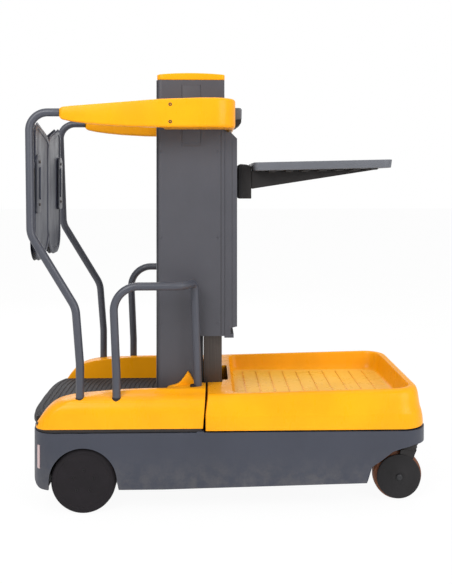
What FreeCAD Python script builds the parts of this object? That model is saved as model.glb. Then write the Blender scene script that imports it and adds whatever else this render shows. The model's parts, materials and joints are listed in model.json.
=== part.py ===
import FreeCAD, Part
import math
import os
import Sketcher
from FreeCAD import Placement, Rotation, Vector

# Order picker truck, in millimetres. +X points to the load tray end, +Z up.
# The origin is on the floor under the middle of the chassis.

# Driving dimensions: name, value, what it measures
SIZES = (
    ("overall_width", 750, "chassis width over the skirt"),
    ("rear_end", 752.5, "skirt end below the platform, behind the origin"),
    ("front_end", 791.5, "skirt end below the load tray, ahead of the origin"),
    ("skirt_bottom", 96, "ground clearance of the skirt"),
    ("skirt_top", 312, "top edge of the skirt"),
    ("skirt_wall", 10, "skirt plate thickness"),
    ("skirt_corner", 100, "plan radius of the skirt corners"),
    ("deck_thickness", 8, "steel deck inside the skirt"),
    ("deck_drop", 4, "deck top below the skirt top"),
    ("beam_out_in", 75, "deck beams, in from the skirt face"),
    ("beam_size", 30, "deck beam width and depth"),
    ("skirt_rise", 16, "rise of the skirt's lower edge toward the front cut-out"),
    ("skirt_level", 240, "where that rise starts, behind the origin"),
    ("skirt_heel", 45, "rounding of the skirt's lower rear corner"),
    ("cutaway_height", 256, "underside of the skirt over the casters"),
    ("cutaway_length", 247, "cut-out over the casters, from the skirt's front end"),
    ("cutaway_ramp", 188, "length over which the cut-out rises"),
    ("drive_diameter", 250, "drive wheel over the tyre"),
    ("drive_width", 80, "drive wheel width"),
    ("drive_back_in", 203, "drive axle, in from the skirt's rear end"),
    ("drive_inset", 13, "drive wheel face inside the skirt face"),
    ("drive_rim", 92, "drive hub outer radius"),
    ("axle_radius", 15, "drive axle stub radius"),
    ("arch_gap", 6, "skirt arch clear of the drive tyre"),
    ("bearing_fit", 0.08, "radial running fit at every shaft"),
    ("running_gap", 0.3, "sliding and thrust faces apart"),
    ("body_gap", 6, "moving bodies apart"),
    ("caster_diameter", 195, "caster wheel over its tread"),
    ("caster_width", 50, "caster wheel width"),
    ("caster_rim", 76, "caster rim outer radius"),
    ("caster_ahead_back", 97.5, "caster wheel axle behind the skirt's front end"),
    ("caster_trail", 43, "caster pin ahead of its wheel axle"),
    ("caster_out_in", 136, "caster wheel, in from the skirt face"),
    ("caster_axle", 10, "caster axle radius"),
    ("fork_plate", 6, "caster fork plate thickness"),
    ("fork_crown", 40, "caster fork crown radius"),
    ("fork_top", 213, "top of the caster fork crown"),
    ("kingpin_radius", 15, "caster pin radius"),
    ("battery_width", 420, "traction battery width"),
    ("battery_length", 540, "traction battery length"),
    ("battery_height", 180, "traction battery height"),
    ("battery_back", 70, "battery end behind the origin"),
    ("tray_thickness", 6, "battery carrier plate"),
    ("mast_rear", 88, "mast channels' back edge behind the origin"),
    ("mast_front", 12, "mast channels' front edge behind the origin"),
    ("mast_half", 150, "base mast half width"),
    ("mast_web", 12, "base mast web thickness"),
    ("mast_flange", 8, "base mast flange thickness"),
    ("flange_width", 38, "base mast flange width"),
    ("mast_top", 1640, "top of the nested mast stages"),
    ("stage_width", 36, "width of one stage rail across the truck"),
    ("stage_foot", 330, "bottom of the inner mast stages"),
    ("cross_height", 80, "mast cross member height"),
    ("cross_depth", 7, "mast cross member thickness"),
    ("pad_height", 55, "height of the slide pads on the mast stages"),
    ("platform_rear_in", 2.5, "platform cover end, in from the skirt's rear end"),
    ("entry_bow", 28, "how far the entry edge bows out behind the cover"),
    ("floor_top", 348, "platform floor plate top"),
    ("floor_thickness", 12, "platform floor plate thickness"),
    ("floor_half_in", 25, "platform frame side, in from the skirt face"),
    ("edge_depth", 26, "platform frame edge beam depth"),
    ("mat_thickness", 8, "rubber mat on the platform"),
    ("footwell_half_in", 110, "standing space side, in from the skirt face"),
    ("footwell_front", 235, "standing space front end behind the origin"),
    ("shell_bottom", 321, "lower edge of the platform cover"),
    ("shell_ridge", 457, "top of the platform cover"),
    ("shell_wall", 8, "platform cover thickness"),
    ("lip_height", 11, "height of the cover's lip below the entry edge"),
    ("seam_back", 79, "platform cover front edge behind the origin"),
    ("seam_gap", 8, "seam between platform cover and load tray"),
    ("fin_top", 504, "tip of the fins beside the column"),
    ("fin_back", 151, "tip of the fins behind the origin"),
    ("fin_thickness", 20, "fin thickness"),
    ("tray_front_back", 2.5, "load tray end behind the skirt's front end"),
    ("tray_bottom", 319, "lower edge of the load tray wall"),
    ("tray_crease", 375, "height of the crease round the load tray"),
    ("tray_rim", 446, "rim height of the load tray at the mast"),
    ("tray_rise", 0.022, "rise of the rim along the tray, a slope"),
    ("tray_floor", 380, "load tray floor height"),
    ("tray_rim_front_back", 20, "rim end behind the skirt's front end"),
    ("tray_rim_half_in", 42, "rim side, in from the skirt face"),
    ("rim_width", 24, "flat width of the load tray rim"),
    ("tray_ledge", 27, "front edge of the ledge at the mast"),
    ("pocket_half", 120, "half width of the pocket in that ledge"),
    ("tray_rib_pitch", 62.5, "distance between the ribs of the tray floor"),
    ("tray_ribs", 10, "number of ribs on the tray floor"),
    ("rib_height", 3, "rib height on the tray floor"),
    ("rib_width", 6, "rib width on the tray floor"),
    ("column_half", 190, "column half width"),
    ("column_rear", 282, "column back face behind the origin"),
    ("column_split", 102, "partition in front of the column box"),
    ("column_front", 2, "column front face behind the origin"),
    ("column_top_over", 53, "column top above the mast top"),
    ("column_skirt", 645, "lower edge of the column around the mast"),
    ("column_wall", 6, "column wall thickness"),
    ("column_corner", 24, "column corner radius"),
    ("recess_back", 178, "panel recess in the column side, behind the origin"),
    ("recess_length", 80, "length of that recess"),
    ("recess_height", 249, "height of that recess"),
    ("cap_height", 29, "column cap height at its middle"),
    ("cap_end", 19, "column cap height at its ends"),
    ("guide_step", 4, "shelf guide side face inside the column side face"),
    ("guide_front", 50, "shelf guide front face ahead of the origin"),
    ("guide_bottom", 637, "lower end of the shelf guide"),
    ("guide_top_down", 160, "upper end of the shelf guide below the mast top"),
    ("guide_slot", 14, "half width of the slot in the shelf guide"),
    ("yoke_top_down", 32, "top of the yoke below the mast top"),
    ("yoke_height", 120, "yoke height at the column"),
    ("yoke_half_in", 35, "yoke side, in from the skirt face"),
    ("yoke_front", 40, "yoke front face ahead of the origin"),
    ("yoke_corner", 90, "plan radius of the yoke's front corners"),
    ("arm_tip_in", 101.5, "tip of the yoke arms, in from the skirt's rear end"),
    ("arm_inner_in", 78, "inner face of the yoke arms, in from the skirt face"),
    ("arm_rise", 42, "rise of the arms' underside to the tip"),
    ("arm_fall", 35, "fall of the arms' top to the tip"),
    ("housing_front", 74, "front housing on the yoke ahead of the origin"),
    ("housing_half", 80, "front housing half width"),
    ("housing_height", 70, "height of the front housing"),
    ("housing_rise", 26, "underside of the front housing above the yoke's"),
    ("rail_radius", 16, "radius of all rail tubes"),
    ("rail_head_back_past", 17.5, "top of the handrail post past the skirt's rear end"),
    ("rail_knee_back_past", 5.5, "upper knee of the handrail past the skirt's rear end"),
    ("rail_head_out_in", 70, "top of the handrail post, in from the skirt face"),
    ("rail_knee_out_in", 45, "knees and foot of the handrail, in from the skirt face"),
    ("rail_foot_back_in", 185.5, "handrail foot, in from the skirt's rear end"),
    ("rail_top_down", 91, "top run of the handrail below the mast top"),
    ("rail_knee_down", 566, "upper knee of the handrail below the mast top"),
    ("rail_low_knee_down", 853, "lower knee of the handrail below the mast top"),
    ("grab_back_in", 312.5, "grab rail front post, in from the skirt's rear end"),
    ("grab_out_in", 41, "grab rail front post, in from the skirt face"),
    ("grab_top", 870, "grab rail height"),
    ("grab_turn", 169, "where the grab rail turns inward, behind the origin"),
    ("grab_front", 124, "grab rail rear post behind the origin"),
    ("grab_clear", 50, "grab rail rear post beside the column"),
    ("hinge_out_in", 100, "gate hinge pin, in from the skirt face"),
    ("hinge_back_past", 15, "gate hinge pin past the skirt's rear end"),
    ("hinge_pin", 8, "gate hinge pin radius"),
    ("hinge_low_down", 464, "lower hinge clamp below the mast top"),
    ("hinge_high_down", 310, "upper hinge clamp below the mast top"),
    ("clamp_height", 24, "hinge clamp height"),
    ("clamp_wall", 11.2, "hinge clamp wall round the rail"),
    ("leaf_thickness", 22, "gate leaf thickness"),
    ("leaf_gap", 5, "gate leaf edge beside the centre line"),
    ("leaf_inset", 43, "gate leaf edge inside its hinge pin"),
    ("leaf_top_down", 130, "gate leaf top below the mast top"),
    ("leaf_drop", 38, "fall of the gate leaf top to its free edge"),
    ("leaf_bottom_down", 656, "lowest point of the gate leaf below the mast top"),
    ("leaf_plate", 8, "thickness of the hinge plate on the gate leaf"),
    ("console_depth", 110, "operator console depth"),
    ("console_half", 170, "operator console half width"),
    ("console_rise", 46, "underside of the console above the yoke's"),
    ("shelf_rear", 116, "shelf back edge ahead of the origin"),
    ("shelf_front", 680, "shelf front edge ahead of the origin"),
    ("shelf_half", 200, "shelf half width"),
    ("shelf_base_down", 318, "underside of the shelf at its back edge, below the mast top"),
    ("shelf_depth", 34, "shelf tray depth"),
    ("shelf_wall", 5, "shelf tray wall thickness"),
    ("shelf_tilt", 1.3, "shelf tilt in degrees, front edge up"),
    ("bracket_low_down", 436, "lower end of the shelf bracket below the mast top"),
    ("bracket_high_down", 288, "upper end of the shelf bracket below the mast top"),
    ("bracket_half", 70, "shelf bracket half width"),
    ("brace_out", 60, "shelf brace beside the centre line"),
    ("brace_plate", 10, "shelf brace thickness"),
    ("brace_low_down", 394, "lowest point of the shelf brace below the mast top"),
    ("lamp_width", 50, "rear lamp width"),
    ("lamp_in", 120, "rear lamp, in from the skirt face"),
    ("lamp_low", 142, "rear lamp lower edge"),
    ("lamp_high", 230, "rear lamp upper edge"),
)


class Dim:
    """A size that knows its number and the sheet expression it comes from."""

    def __init__(self, value, text):
        self.value = value
        self.text = text

    def __float__(self):
        return float(self.value)

    def __neg__(self):
        return Dim(-self.value, f"(-1 * {self.text})")

    def __add__(self, other):
        other = dim(other)
        return Dim(self.value + other.value, f"({self.text} + {other.text})")

    def __sub__(self, other):
        other = dim(other)
        return Dim(self.value - other.value, f"({self.text} - {other.text})")

    def __mul__(self, other):
        other = dim(other)
        return Dim(self.value * other.value, f"({self.text} * {other.text})")

    def __truediv__(self, other):
        other = dim(other)
        return Dim(self.value / other.value, f"({self.text} / {other.text})")

    def __radd__(self, other):
        return dim(other) + self

    def __rsub__(self, other):
        return dim(other) - self

    def __rmul__(self, other):
        return dim(other) * self


def dim(value):
    """A plain number becomes a size with itself as its expression."""
    return value if isinstance(value, Dim) else Dim(value, repr(float(value)))


class Sizes:
    """Every alias of the sheet as a size."""

    def __init__(self, sheet):
        for alias, _, _ in SIZES:
            setattr(self, alias, Dim(float(sheet.get(alias)), f"Sizes.{alias}"))


doc = FreeCAD.newDocument("OrderPickerTruck")
sheet = doc.addObject("Spreadsheet::Sheet", "Sizes")
for row, (alias, number, meaning) in enumerate(SIZES, start=1):
    sheet.set(f"A{row}", str(number))
    sheet.setAlias(f"A{row}", alias)
    sheet.set(f"B{row}", meaning)
doc.recompute()
S = Sizes(sheet)

# Places that keep to the mast top or to the skirt's side face, front or rear end when those change
for tied in ("guide_top", "yoke_top", "rail_top", "rail_knee", "rail_low_knee", "hinge_low", "hinge_high",
             "leaf_top", "leaf_bottom", "shelf_base", "bracket_low", "bracket_high", "brace_low"):
    setattr(S, tied, S.mast_top - getattr(S, tied + "_down"))
for tied in ("beam_out", "caster_out", "floor_half", "footwell_half", "tray_rim_half", "yoke_half",
             "arm_inner", "rail_head_out", "rail_knee_out", "grab_out", "hinge_out"):
    setattr(S, tied, S.overall_width / 2 - getattr(S, tied + "_in"))
for tied in ("caster_ahead", "tray_front", "tray_rim_front"):
    setattr(S, tied, S.front_end - getattr(S, tied + "_back"))
for tied in ("drive_back", "platform_rear", "arm_tip", "rail_foot_back", "grab_back"):
    setattr(S, tied, S.rear_end - getattr(S, tied + "_in"))
for tied in ("rail_head_back", "rail_knee_back", "hinge_back"):
    setattr(S, tied, S.rear_end + getattr(S, tied + "_past"))
S.column_top = S.mast_top + S.column_top_over
S.yoke_bottom = S.yoke_top - S.yoke_height
S.guide_half = S.column_half - S.guide_step

SIDES = (("left", -1), ("right", 1))
NODES = []


# Helpers that build bound document objects

def bind(thing, prop, value):
    """Tie one property to the sheet."""
    thing.setExpression(prop, dim(value).text)


def place(thing, x, y, z):
    """Tie a position to the sheet."""
    for axis, value in zip("xyz", (x, y, z)):
        bind(thing, f"Placement.Base.{axis}", value)
    return thing


def node(label, thing):
    """Name a finished sub-part and list it for export."""
    thing.Label = label
    NODES.append(thing)
    return thing


def box(name, xs, ys, zs):
    """A block between two values on each axis."""
    made = doc.addObject("Part::Box", name)
    for prop, (low, high) in zip(("Length", "Width", "Height"), (xs, ys, zs)):
        bind(made, prop, high - low)
    return place(made, xs[0], ys[0], zs[0])


def rod(name, axis, radius, length, start):
    """A cylinder that starts at a point and runs along +X, +Y or +Z."""
    made = doc.addObject("Part::Cylinder", name)
    bind(made, "Radius", radius)
    bind(made, "Height", length)
    turns = {"x": Rotation(Vector(0, 1, 0), 90), "y": Rotation(Vector(1, 0, 0), -90), "z": Rotation()}
    made.Placement = Placement(Vector(), turns[axis])
    return place(made, *start)


def cut(name, base, *tools):
    """Base without its tools."""
    tool = tools[0] if len(tools) == 1 else fuse(name + "_tools", *tools)
    made = doc.addObject("Part::Cut", name)
    made.Base = base
    made.Tool = tool
    return made


def fuse(name, *parts):
    """Pieces joined into one."""
    made = doc.addObject("Part::MultiFuse", name)
    made.Shapes = list(parts)
    made.Refine = True
    return made


def common(name, *parts):
    """What the pieces share."""
    made = doc.addObject("Part::MultiCommon", name)
    made.Shapes = list(parts)
    return made


def origin_plane(body, role):
    """One of a body's own base planes."""
    return next(plane for plane in body.Origin.OriginFeatures if plane.Role == role)


def outline(body, plane, corners):
    """A closed outline whose every corner is tied to the sheet."""
    sketch = body.newObject("Sketcher::SketchObject", body.Name + "_outline")
    sketch.AttachmentSupport = [(origin_plane(body, plane + "_Plane"), "")]
    sketch.MapMode = "FlatFace"
    points = [Vector(float(dim(a)), float(dim(b)), 0) for a, b, *_ in corners]
    count = len(points)
    for index in range(count):
        sketch.addGeometry(Part.LineSegment(points[index], points[(index + 1) % count]), False)
    for index in range(count):
        sketch.addConstraint(Sketcher.Constraint("Coincident", index, 2, (index + 1) % count, 1))
    for index, (a, b, *_) in enumerate(corners):
        for kind, value in (("DistanceX", a), ("DistanceY", b)):
            row = sketch.addConstraint(Sketcher.Constraint(kind, index, 1, float(dim(value))))
            sketch.setExpression(f"Constraints[{row}]", dim(value).text)
    return sketch


def across(plane, point):
    """A point's two coordinates in a sketch plane."""
    return {"XY": (point.x, point.y), "XZ": (point.x, point.z), "YZ": (point.y, point.z)}[plane]


def plate(name, plane, corners, low, high):
    """An outline with rounded corners, padded between two values across its plane.

    A corner is (first, second) or (first, second, radius).
    """
    body = doc.addObject("PartDesign::Body", name)
    sketch = outline(body, plane, corners)
    pad = body.newObject("PartDesign::Pad", name + "_pad")
    pad.Profile = sketch
    bind(pad, "Length", high - low)
    zero = dim(0)
    starts = {"XY": (zero, zero, low), "XZ": (zero, high, zero), "YZ": (low, zero, zero)}
    place(body, *starts[plane])
    body.Tip = pad
    rounds = {}
    for first, second, *radius in corners:
        if radius:
            rounds.setdefault(dim(radius[0]).text, (dim(radius[0]), []))[1].append((first, second))
    if rounds:
        doc.recompute()
    for index, (radius, spots) in enumerate(rounds.values()):
        sharp = body.Tip
        names = [
            f"Edge{number}"
            for number, edge in enumerate(sharp.Shape.Edges, start=1)
            if at_corner(plane, edge, spots)
        ]
        fillet = body.newObject("PartDesign::Fillet", f"{name}_round_{index}")
        fillet.Base = (sharp, names)
        bind(fillet, "Radius", radius)
        body.Tip = fillet
        doc.recompute()
    return body


def at_corner(plane, edge, spots):
    """Whether an edge runs across the sketch plane through one of the corners."""
    ends = [across(plane, vertex.Point) for vertex in edge.Vertexes]
    if len(ends) != 2 or math.dist(*ends) > 1e-4:
        return False
    return any(math.dist(ends[0], (float(a), float(b))) < 1e-4 for a, b in spots)


def block_corners(first, second, radius):
    """The four corners of a rectangle, all with one radius."""
    return [
        (first[0], second[0], radius),
        (first[1], second[0], radius),
        (first[1], second[1], radius),
        (first[0], second[1], radius),
    ]


def ring(name, outer, bore, width, centre, soften=None):
    """A disc about Y with a bore and softened outer edges."""
    x, y, z = centre
    start = (x, y - width / 2, z)
    disc = rod(name + "_disc", "y", outer, width, start)
    if soften is not None:
        doc.recompute()
        rounded = doc.addObject("Part::Chamfer", name + "_soft")
        rounded.Base = disc
        rims = [n for n, edge in enumerate(disc.Shape.Edges, start=1) if edge.Closed]
        rounded.Edges = [(n, float(soften), float(soften)) for n in rims]
        disc = rounded
    hole = rod(name + "_bore", "y", bore, width + 2, (x, y - width / 2 - 1, z))
    return cut(name, disc, hole)


# Helpers for the moulded covers and bent tubes

def rounded_section(z, low, high, half, low_radius, high_radius, slope=0.0):
    """A closed section with arcs at its four corners, level or rising from its low end."""
    low, high, half, a, b = (float(v) for v in (low, high, half, low_radius, high_radius))
    z, slope = float(z), float(slope)
    k = math.sqrt(0.5)
    corners = (
        ((low + a, -half), (low + a - a * k, -half + a - a * k), (low, -half + a)),
        ((low, half - a), (low + a - a * k, half - a + a * k), (low + a, half)),
        ((high - b, half), (high - b + b * k, half - b + b * k), (high, half - b)),
        ((high, -half + b), (high - b + b * k, -half + b - b * k), (high - b, -half)),
    )
    edges = []
    for index, (start, middle, end) in enumerate(corners):
        following = corners[(index + 1) % 4][0]
        points = [Vector(x, y, z + slope * (x - low)) for x, y in (start, middle, end, following)]
        edges.append(Part.Arc(*points[:3]).toShape())
        edges.append(Part.LineSegment(*points[2:]).toShape())
    return Part.Wire(edges)


def stacked(sections):
    """A solid through sections, straight between them."""
    return Part.makeLoft([rounded_section(*section) for section in sections], True, True)


def solid_between(xs, ys, zs):
    """A plain block for use inside a coded shape."""
    sizes = [float(high) - float(low) for low, high in (xs, ys, zs)]
    return Part.makeBox(*sizes, Vector(*(float(low) for low, _ in (xs, ys, zs))))


def round_bar(axis, radius, length, start):
    """A plain cylinder for use inside a coded shape."""
    return Part.makeCylinder(float(radius), float(length), Vector(*map(float, start)), Vector(*axis))


def side_profile(points, low, high):
    """A solid from an X and Z outline between two values of Y."""
    low, high = float(low), float(high)
    corners = [Vector(float(x), low, float(z)) for x, z in points]
    face = Part.Face(Part.makePolygon(corners + corners[:1]))
    return face.extrude(Vector(0, high - low, 0))


def bent_path(points, radii):
    """Straight runs joined by tangent arcs, one radius for each inner point."""
    points = [Vector(*map(float, point)) for point in points]
    edges = []
    start = points[0]
    for before, corner, after, radius in zip(points, points[1:], points[2:], radii):
        back = (before - corner).normalize()
        ahead = (after - corner).normalize()
        half = back.getAngle(ahead) / 2
        reach = float(radius) / math.tan(half)
        centre = corner + (back + ahead).normalize() * (float(radius) / math.sin(half))
        middle = centre + (corner - centre).normalize() * float(radius)
        edges.append(Part.LineSegment(start, corner + back * reach).toShape())
        edges.append(Part.Arc(corner + back * reach, middle, corner + ahead * reach).toShape())
        start = corner + ahead * reach
    edges.append(Part.LineSegment(start, points[-1]).toShape())
    return Part.Wire(edges)


def bent_tube(points, radii, radius):
    """A round bar along a bent path."""
    path = bent_path(points, radii)
    first = Vector(*map(float, points[0]))
    ahead = Vector(*map(float, points[1])) - first
    circle = Part.Wire(Part.makeCircle(float(radius), first, ahead))
    return path.makePipeShell([circle], True, False)


def coded(label, shape):
    """A sub-part whose shape is worked out from the sheet in code."""
    made = doc.addObject("Part::Feature", label)
    made.Shape = shape
    made.Placement = Placement()
    return node(label, made)


# Chassis

# Underside of the skirt over the casters: share of the ramp's length and of its rise
CUTAWAY = ((0.02, 0.15), (0.11, 0.49), (0.28, 0.62), (0.54, 0.85), (0.74, 0.93), (1.0, 1.0))


def chassis_skirt():
    """The plate that runs round the chassis, open above and below."""
    half = S.overall_width / 2
    outer = plate(
        "skirt_outer", "XY",
        block_corners((-S.rear_end, S.front_end), (-half, half), S.skirt_corner),
        S.skirt_bottom, S.skirt_top,
    )
    wall = S.skirt_wall
    inner = plate(
        "skirt_inner", "XY",
        block_corners((wall - S.rear_end, S.front_end - wall), (wall - half, half - wall),
                      S.skirt_corner - wall),
        S.skirt_bottom - 1, S.skirt_top + 1,
    )
    beyond = S.front_end + 20
    under = S.skirt_bottom - 10
    rise = S.cutaway_height - S.skirt_bottom
    start = S.front_end - S.cutaway_length
    rising = [(start + S.cutaway_ramp * along, S.skirt_bottom + rise * up) for along, up in CUTAWAY]
    cutaway = plate(
        "skirt_cutaway", "XZ",
        [
            (-S.skirt_level, under),
            (-S.skirt_level, S.skirt_bottom),
            (start, S.skirt_bottom + S.skirt_rise),
            *rising,
            (beyond, S.cutaway_height),
            (beyond, under),
        ],
        -half - 20, half + 20,
    )
    heel = box(
        "heel_stock", (-S.rear_end - 1, S.skirt_heel - S.rear_end), (-half - 1, half + 1),
        (S.skirt_bottom - 1, S.skirt_bottom + S.skirt_heel),
    )
    heel_round = rod(
        "heel_round", "y", S.skirt_heel, S.overall_width + 4,
        (S.skirt_heel - S.rear_end, -half - 2, S.skirt_bottom + S.skirt_heel),
    )
    heel = cut("skirt_heel", heel, heel_round)
    radius = S.drive_diameter / 2 + S.arch_gap
    arch = rod("skirt_arch", "y", radius, S.overall_width + 40, (-S.drive_back, -half - 20, S.drive_diameter / 2))
    mouth = plate(
        "skirt_mouth", "XZ",
        [
            (-S.drive_back - radius, under),
            (-S.drive_back - radius, S.drive_diameter / 2),
            (radius - S.drive_back, S.drive_diameter / 2),
            (radius - S.drive_back + 9, under),
        ],
        -half - 20, half + 20,
    )
    lamps = [rear_lamp_block(name, side, S.skirt_wall) for name, side in SIDES]
    node("chassis_skirt", cut("chassis_skirt", outer, inner, cutaway, arch, mouth, heel, *lamps))


def rear_lamp_block(name, side, depth):
    """The rounded block of one rear lamp, as deep as the skirt plate."""
    middle = side * (S.overall_width / 2 - S.lamp_in)
    half = S.lamp_width / 2
    return plate(
        f"lamp_block_{name}_{len(doc.Objects)}", "YZ",
        block_corners((middle - half, middle + half), (S.lamp_low, S.lamp_high), half * 0.9),
        -S.rear_end, depth - S.rear_end,
    )


def rear_lamps():
    """Two lamps set flush in the skirt's rear plate."""
    for name, side in SIDES:
        node(f"rear_lamp_{name}", rear_lamp_block(name, side, S.skirt_wall))


def chassis_deck():
    """Steel deck that closes the skirt, with the beams that stiffen it."""
    half = S.overall_width / 2 - S.skirt_wall
    top = S.skirt_top - S.deck_drop
    under = top - S.deck_thickness
    sheet_metal = plate(
        "deck_sheet", "XY",
        block_corners((S.skirt_wall - S.rear_end, S.front_end - S.skirt_wall), (-half, half),
                      S.skirt_corner - S.skirt_wall),
        under, top,
    )
    beams = [
        box(f"deck_beam_{name}", (-S.rear_end + 60, S.caster_ahead - 90),
            (side * S.beam_out - S.beam_size / 2, side * S.beam_out + S.beam_size / 2),
            (under - S.beam_size, under))
        for name, side in SIDES
    ]
    node("chassis_deck", fuse("chassis_deck", sheet_metal, *beams))


def battery():
    """The traction battery and the carrier that hangs it from the deck."""
    under = S.skirt_top - S.deck_drop - S.deck_thickness
    half = S.battery_width / 2
    ends = (-S.battery_back, S.battery_length - S.battery_back)
    floor = under - S.battery_height - 10
    node("battery", box("battery", ends, (-half, half), (floor, floor + S.battery_height)))
    wall = S.tray_thickness
    outer = box("carrier_outer", ends, (-half - wall, half + wall), (floor - wall, under))
    inner = box("carrier_inner", (ends[0] - 1, ends[1] + 1), (-half, half), (floor, under + 1))
    node("battery_carrier", cut("battery_carrier", outer, inner))


def drive_units():
    """Gear case, motor and axle stub that carry each drive wheel."""
    half = S.overall_width / 2
    under = S.skirt_top - S.deck_drop - S.deck_thickness
    face = half - S.drive_inset
    inner_face = face - S.drive_width
    centre = S.drive_diameter / 2
    for name, side in SIDES:
        near = side * (inner_face - 110)
        far = side * (inner_face - 20)
        span = (near, far) if side > 0 else (far, near)
        case = box(f"gear_case_{name}", (-S.drive_back - 55, 55 - S.drive_back), span, (centre - 50, centre + 60))
        hanger = box(f"hanger_{name}", (-S.drive_back - 40, 40 - S.drive_back), span, (centre + 60, under))
        motor = rod(f"motor_{name}", "x", 55, 190, (55 - S.drive_back, side * (inner_face - 65), centre + 5))
        reach = face - 22 - (inner_face - 20)
        start = side * (inner_face - 20) if side > 0 else -(face - 22)
        axle = rod(f"axle_{name}", "y", S.axle_radius, reach, (-S.drive_back, start, centre))
        node(f"drive_unit_{name}", fuse(f"drive_unit_{name}", case, hanger, motor, axle))


def drive_wheels():
    """Solid tyre on a plain disc hub, one on each side."""
    centre_z = S.drive_diameter / 2
    middle = S.overall_width / 2 - S.drive_inset - S.drive_width / 2
    for name, side in SIDES:
        centre = (-S.drive_back, side * middle, centre_z)
        tyre = ring(f"drive_tyre_{name}", S.drive_diameter / 2, S.drive_rim, S.drive_width, centre, 5)
        node(f"drive_tyre_{name}", tyre)
        web = ring(f"hub_web_{name}", S.drive_rim, S.axle_radius + S.bearing_fit, S.drive_width - 16, centre)
        low = side * (middle + S.drive_width / 2 - 22)
        if side < 0:
            low = low - 14
        cover = rod(f"hub_cover_{name}", "y", S.drive_rim - 20, dim(14), (-S.drive_back, low, centre_z))
        clear = rod(
            f"hub_clear_{name}", "y", S.axle_radius + S.bearing_fit, S.drive_width - 16 - 12,
            (-S.drive_back, side * middle - (S.drive_width / 2 - (8 if side > 0 else 20)), centre_z),
        )
        joined = fuse(f"hub_joined_{name}", web, cover)
        node(f"drive_hub_{name}", cut(f"drive_hub_{name}", joined, clear))


# Casters

def caster_mounts():
    """Plate, post and pin under the deck for each caster."""
    under = S.skirt_top - S.deck_drop - S.deck_thickness
    pin_x = S.caster_ahead + S.caster_trail
    seat = S.fork_top + S.running_gap
    crown = S.fork_top - 10
    for name, side in SIDES:
        y = side * S.caster_out
        plate_top = seat + 10
        flange = rod(f"mount_flange_{name}", "z", S.fork_crown, plate_top - seat, (pin_x, y, seat))
        post = box(f"mount_post_{name}", (pin_x - 40, pin_x + 34), (y - 38, y + 38), (plate_top, under))
        pin = rod(f"mount_pin_{name}", "z", S.kingpin_radius, seat - crown, (pin_x, y, crown))
        node(f"caster_mount_{name}", fuse(f"caster_mount_{name}", flange, post, pin))


def caster_forks():
    """Crown with two cheeks and the wheel axle."""
    pin_x = S.caster_ahead + S.caster_trail
    crown = S.fork_top - 10
    axle_z = S.caster_diameter / 2
    inner = S.caster_width / 2 + 5
    for name, side in SIDES:
        y = side * S.caster_out
        top = rod(f"fork_crown_{name}", "z", S.fork_crown, S.fork_top - crown, (pin_x, y, crown))
        eye = rod(f"fork_eye_{name}", "z", S.kingpin_radius + S.bearing_fit, 30, (pin_x, y, crown - 10))
        cheeks = []
        for index, low in enumerate((y - inner - S.fork_plate, y + inner)):
            cheeks.append(plate(
                f"fork_cheek_{name}_{index}", "XZ",
                [
                    (pin_x - 34, crown),
                    (pin_x + 30, crown),
                    (S.caster_ahead + 22, axle_z - 22, 16),
                    (S.caster_ahead - 22, axle_z - 22, 16),
                ],
                low, low + S.fork_plate,
            ))
        reach = inner + S.fork_plate + 4
        axle = rod(f"fork_axle_{name}", "y", S.caster_axle, reach * 2, (S.caster_ahead, y - reach, axle_z))
        joined = fuse(f"fork_joined_{name}", top, axle, *cheeks)
        node(f"caster_fork_{name}", cut(f"caster_fork_{name}", joined, eye))


def caster_wheels():
    """Tread on a plain rim, one in each fork."""
    for name, side in SIDES:
        centre = (S.caster_ahead, side * S.caster_out, S.caster_diameter / 2)
        tread = ring(f"caster_tyre_{name}", S.caster_diameter / 2, S.caster_rim, S.caster_width, centre, 4)
        node(f"caster_tyre_{name}", tread)
        rim = ring(f"caster_rim_{name}", S.caster_rim, S.caster_axle + S.bearing_fit, S.caster_width - 6, centre)
        node(f"caster_rim_{name}", rim)


# Mast: fixed channels with two nested moving stages

def channel_pair(prefix, half, web, rear, front, foot):
    """Two channels that face each other across the truck."""
    made = []
    for name, side in SIDES:
        outer = side * half
        inner = side * (half - S.flange_width)
        span = (inner, outer) if side > 0 else (outer, inner)
        solid = box(f"{prefix}_stock_{name}", (rear, front), span, (foot, S.mast_top))
        hollow_span = (inner - 1, outer - web) if side > 0 else (outer + web, inner + 1)
        hollow = box(
            f"{prefix}_hollow_{name}", (rear + S.mast_flange, front - S.mast_flange),
            hollow_span, (foot - 1, S.mast_top + 1),
        )
        made.append(cut(f"{prefix}_channel_{name}", solid, hollow))
    return made


def base_mast():
    """The fixed outer channels on their foot, tied at the front."""
    foot = S.skirt_top - S.deck_drop
    pair = channel_pair("base", S.mast_half, S.mast_web, -S.mast_rear, -S.mast_front, foot)
    inner = S.mast_half - S.flange_width
    front = -S.mast_front
    ties = [
        box(f"base_tie_{index}", (front - S.cross_depth, front), (-inner, inner), (low, low + S.cross_height))
        for index, low in enumerate((foot, S.mast_top - S.cross_height))
    ]
    foot_plate = box(
        "base_foot", (-S.mast_rear, front), (-S.mast_half, S.mast_half), (foot, foot + 12),
    )
    node("base_mast", fuse("base_mast", *pair, *ties, foot_plate))


def stage_layers():
    """Each moving layer: name, outer half width, back edge and front edge."""
    rear = S.body_gap + S.mast_flange - S.mast_rear
    front = -S.mast_front - S.mast_flange - S.body_gap - S.cross_depth + 4
    outer = S.mast_half - S.mast_web - S.body_gap
    second = outer - S.stage_width - S.body_gap
    return (
        ("mast_stage_two", outer, rear, front),
        ("mast_stage_three", second, rear, front - S.cross_depth - S.body_gap),
    )


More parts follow.
